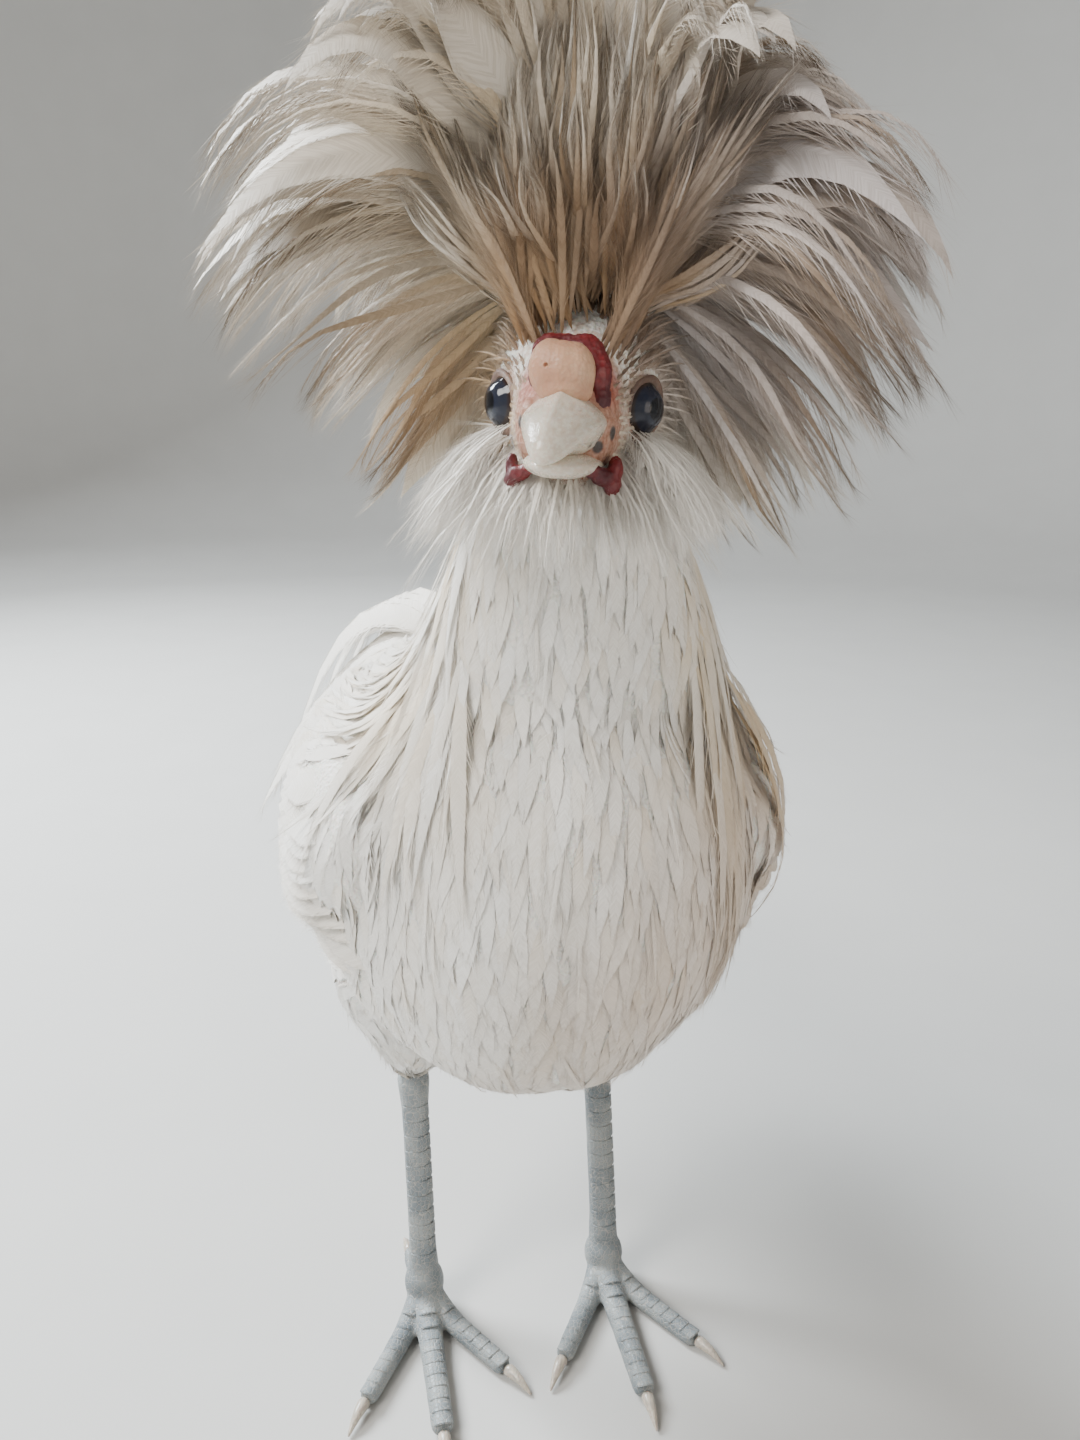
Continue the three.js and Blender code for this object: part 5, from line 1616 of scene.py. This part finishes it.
# %% Lay hackles and saddle
shoulders = surfaces("wing_left", "wing_right")
for name, region, spacing, length, width, lift, seed, over in (
    ("hackles", behind_neck, 3.8, 62, 7.2, 2.6, 81, shoulders),
    ("saddle", on_saddle, 4.8, 50, 10, 3, 91, None),
):
    spots, outs = scattered(spacing, region, seed)
    rng = np.random.default_rng(seed)
    count = len(spots)
    p = seen_from(to_body, spots)
    lengths = length * rng.uniform(0.8, 1.1, count)
    if name == "hackles":
        lengths *= 1 - 0.15 * ramp(p[:, 2], 247, 292)
        lengths *= 1 + 0.45 * ramp(p[:, 0], 8, 18)
    else:
        lengths *= 1 + 0.3 * ramp(p[:, 1], 66, 86)
    lifts = lift * rng.uniform(0.7, 1.2, count)
    root, bend, tip, face = walked(spots, outs, lengths, lifts, 0.1, seed, 6, over)
    over_tail = ramp(p[:, 1:2], 50, 95) * MM
    bend = bend + over_tail * (body_turn @ [0, 3, 5])
    tip = tip + over_tail * (body_turn @ [0, 12, 15])
    left = ramp(p[:, 0], 0, 30)
    warm = np.clip(0.22 + 0.4 * left + 0.16 * rng.normal(size=count), 0, 1)
    smoke_and_shade = 0.14 * left + 0.05
    widths = width * rng.uniform(0.8, 1.15, count)
    coat = laid(hackle_kinds, root, bend, tip, face, widths, 0.2, 0.1, warm, smoke_and_shade, seed)
    as_mesh(name, coat, plumage)

# %% [markdown]
# ## The wings
# A folded wing shows rows of coverts like roof tiles, then the long secondaries, and the
# primaries under them. Rays from the side find the flank, so every row lies on it.

# %% Wing rows
WING_ROWS = [
    # count, y, top, low, length, width, climb
    (9, -50, 214, 178, 24, 13, None), (10, -40, 222, 172, 26, 13, None),
    (11, -28, 227, 168, 28, 14, None), (11, -15, 229, 166, 31, 15, None),
    (12, -1, 230, 166, 35, 15, None), (12, 13, 228, 167, 40, 15, None),
    (12, 29, 224, 170, 64, 15, None), (7, 31, 172, 158, 80, 10, 12),
]
RAY = 0.3  # metres from which a ray looks for the flank
ROOT_SINK, TIP_LIFT = -1.0, 4.0


def wing_feathers(sign, rng):
    """Curves from root to tip, the side that each faces, and the widths."""
    out = body_turn @ [sign, 0, 0]
    lines, widths = [], []
    for count, y, top, low, length, width, climb in WING_ROWS:
        for k in range(count):
            share = (k + 0.3 * rng.uniform(-1, 1)) / (count - 1)
            z = top + (low - top) * share
            start = y + 8 * math.sin(math.pi * ramp(share, 0, 1)) + 1.5 * rng.uniform(-1, 1)
            reach = length * rng.uniform(0.94, 1.06)
            rise = climb if climb is not None else -4 - (z - WING_PLACE[2]) * 0.3
            line = []
            for part in (0, 0.5, 1):
                target = body @ (Vector((0, start + reach * part, z + rise * part)) * MM)
                hit, _, _, _ = skin_tree.ray_cast(target + Vector(out) * RAY, -Vector(out), RAY)
                lift = (ROOT_SINK + TIP_LIFT * part) * MM
                if hit is None or (hit - target).dot(Vector(out)) < 0.01:
                    hit = Vector(line[-1]) * 2 - Vector(line[-2]) - Vector(out) * 1.5 * MM
                    lift = 0
                line.append(np.array(hit) + out * lift)
            lines.append(line)
            widths.append(width)
    lines = np.array(lines)
    bend = 2 * lines[:, 1] - (lines[:, 0] + lines[:, 2]) / 2
    face = np.tile(out + 0.25 * UP, (len(lines), 1))
    return lines[:, 0], bend, lines[:, 2], face, np.array(widths)


for side, sign, seed in (("left", 1, 101), ("right", -1, 102)):
    rng = np.random.default_rng(seed)
    *curves, widths = wing_feathers(sign, rng)
    cream = 0.3 if sign > 0 else 0.12
    warm = np.clip(cream + 0.08 * rng.normal(size=len(widths)), 0, 1)
    wing = laid(broad_kinds, *curves, widths, 0.35, 0.1, warm, 0.0, seed)
    as_mesh(f"wing_{side}.feathers", wing, plumage, (f"wing_{side}",))

# %% [markdown]
# ## The tail
# Broad feathers fan from the rump, arch and droop. Coverts lie over their roots and longer,
# curved sickles hang at both sides, as on a young cockerel.

# %% Curves of the tail feathers
TAIL_ROOT = Vector((-2, 96, 208)) * MM
TAIL_TURN = 9
tail_frame = body @ Matrix.Translation(TAIL_ROOT) @ turned(TAIL_TURN, "Z")
TAIL_TIERS = [
    # pairs, first yaw, step, length, shorter, rise, fall, droop, high, width
    (11, 2, 4.4, 118, 1.8, 30, 6, 6, 6, 26), (9, 3, 5.4, 90, 2, 28, 2, 4.5, 10, 22),
    (8, 2, 6.5, 64, 1.5, 24, 0, 3.5, 14, 19), (6, 1, 7.5, 42, 1, 17, 0, 2, 17, 16),
    (8, 10, 5.5, 97, 1.8, 36, 26, 5, 10, 18), (4, 9, 6, 131, 3, 58, 66, 2, 12, 16),
    (8, 3, 7, 60, 1.5, 4, 16, 1.5, -2, 20), (8, 4, 7.5, 44, 1, -3, 20, 1, -8, 18),
]


def tail_curves(yaw, length, rise, fall, high):
    along = np.stack([np.sin(yaw), np.cos(yaw), 0 * yaw], 1)
    root = np.array([0, -8, 0]) + along * 3 + UP * high[:, None]
    bend = root + along * (0.58 * length)[:, None] + UP * rise[:, None]
    tip = root + along * length[:, None] - UP * (fall + high)[:, None]
    degrees = np.degrees(np.abs(yaw))
    face = np.stack([np.sign(yaw) * (0.3 + 0.025 * degrees), -0.3 + 0 * yaw, 0.8 + 0 * yaw], 1)
    matrix = np.array(tail_frame)
    points = [(q * MM) @ matrix[:3, :3].T + matrix[:3, 3] for q in (root, bend, tip)]
    return [*points, face @ matrix[:3, :3].T]


# %% Lay the tail
rng = np.random.default_rng(111)
tail = []
for pairs, yaw, step, length, shorter, rise, fall, droop, high, width in TAIL_TIERS:
    k = np.tile(np.arange(pairs), 2)
    sign = np.repeat([1, -1], pairs)
    yaws = np.radians(sign * (yaw + step * k) + rng.uniform(-1, 1, 2 * pairs))
    lengths = length - shorter * k + 2 * rng.uniform(-1, 1, 2 * pairs)
    curves = tail_curves(yaws, lengths, rise - 1.0 * k, fall + droop * k, high - 1.0 * k)
    warm = 0.1 + 0.15 * rng.random(2 * pairs)
    tail += laid(broad_kinds, *curves, width, 0.45, 0.14, warm, 0.0, 112 + pairs)
as_mesh("tail.feathers", tail, plumage, ("tail",))

# %% [markdown]
# ## The room
# A museum photograph has a plain pale ground without a visible corner. A profile is spun round
# into a shallow bowl, so that floor and wall run into each other on every side.

# %% Floor
fresh_start()
FLOOR_PROFILE = [(1.7, 0), (2.0, 0.04), (2.2, 0.16), (2.32, 0.4), (2.36, 0.8), (2.36, 1.7)]
FLOOR_RIM = 1.69
bpy.ops.mesh.primitive_circle_add(vertices=64, radius=FLOOR_PROFILE[0][0], fill_type="NGON")
floor = bpy.context.active_object
floor.name = "floor"
bpy.ops.object.mode_set(mode="EDIT")
bpy.ops.mesh.select_all(action="SELECT")
bpy.ops.mesh.inset(thickness=1.0)  # a smaller face in the middle, so the rest shades evenly
bpy.ops.mesh.select_all(action="DESELECT")
bpy.ops.object.mode_set(mode="OBJECT")
for edge in floor.data.edges:
    edge.select = all(floor.data.vertices[i].co.length > FLOOR_RIM for i in edge.vertices)
bpy.ops.object.mode_set(mode="EDIT")
bpy.ops.mesh.select_mode(type="EDGE")
for (r0, z0), (r1, z1) in zip(FLOOR_PROFILE, FLOOR_PROFILE[1:]):
    bpy.ops.mesh.extrude_edges_move(TRANSFORM_OT_translate={"value": (0, 0, z1 - z0)})
    bpy.ops.transform.resize(value=(r1 / r0, r1 / r0, 1), center_override=(0, 0, z1))
bpy.ops.mesh.select_all(action="SELECT")
bpy.ops.mesh.normals_make_consistent(inside=True)
bpy.ops.object.mode_set(mode="OBJECT")
bpy.ops.object.shade_smooth()
floor_finish, tree, shader = tree_of("pale floor")
ground = node(tree, "ShaderNodeTexCoord", out=3)
mottle = noise(tree, ground, 14, 3)
grey = blend(tree, mottle, colour(0.5, 0.49, 0.47), colour(0.54, 0.53, 0.51))
surface(tree, shader, grey, 0.8, {})
floor.data.materials.append(floor_finish)
print("floor faces:", len(floor.data.polygons))

# %% [markdown]
# ## Light and camera
# The photo has cool daylight from behind on one side and open sky in front, with a warm, dim
# room on the other side. The camera stands as far from the bird as in the photo, looks a
# little down and has the same angle of view.

# %% Lights
def soft_light(name, place, target, size, power, tint):
    light = bpy.data.lights.new(name, "AREA")
    light.shape = "DISK"
    light.size = size
    light.energy = power
    light.color = tint
    lamp = bpy.data.objects.new(name, light)
    lamp.location = place
    lamp.rotation_euler = (Vector(target) - Vector(place)).to_track_quat("-Z", "Y").to_euler()
    bpy.context.scene.collection.objects.link(lamp)


soft_light("window", (-0.95, 0.7, 1.15), (0, 0, 0.25), 0.7, 84, (0.88, 0.95, 1.0))
soft_light("open sky", (-0.95, -0.8, 1.35), (0, 0, 0.26), 0.8, 33, (1.0, 0.99, 0.96))
soft_light("room fill", (1.1, -1.0, 0.35), (0, 0, 0.24), 1.0, 5, (1.0, 0.86, 0.72))
AMBIENT, AMBIENT_POWER = (0.85, 0.88, 0.92, 1), 0.23
world = bpy.data.worlds.new("room")
world.use_nodes = True
put(world.node_tree, world.node_tree.nodes["Background"].inputs[0], AMBIENT)
put(world.node_tree, world.node_tree.nodes["Background"].inputs[1], AMBIENT_POWER)
bpy.context.scene.world = world
print("lights:", [light.name for light in bpy.data.lights])

# %% Camera
CAMERA_PLACE = Vector((4.8, -300, 312.5)) * MM
CAMERA_DOWN = 16.5
camera_data = bpy.data.cameras.new("camera")
camera_data.lens = 27
camera_data.sensor_width = 36
camera_data.clip_start = 0.01
camera = bpy.data.objects.new("camera", camera_data)
camera.location = origin + CAMERA_PLACE
camera.rotation_euler = (math.radians(90 - CAMERA_DOWN), 0, 0)
bpy.context.scene.collection.objects.link(camera)
bpy.context.scene.camera = camera
print("camera at, mm:", [round(v / MM) for v in camera.location])
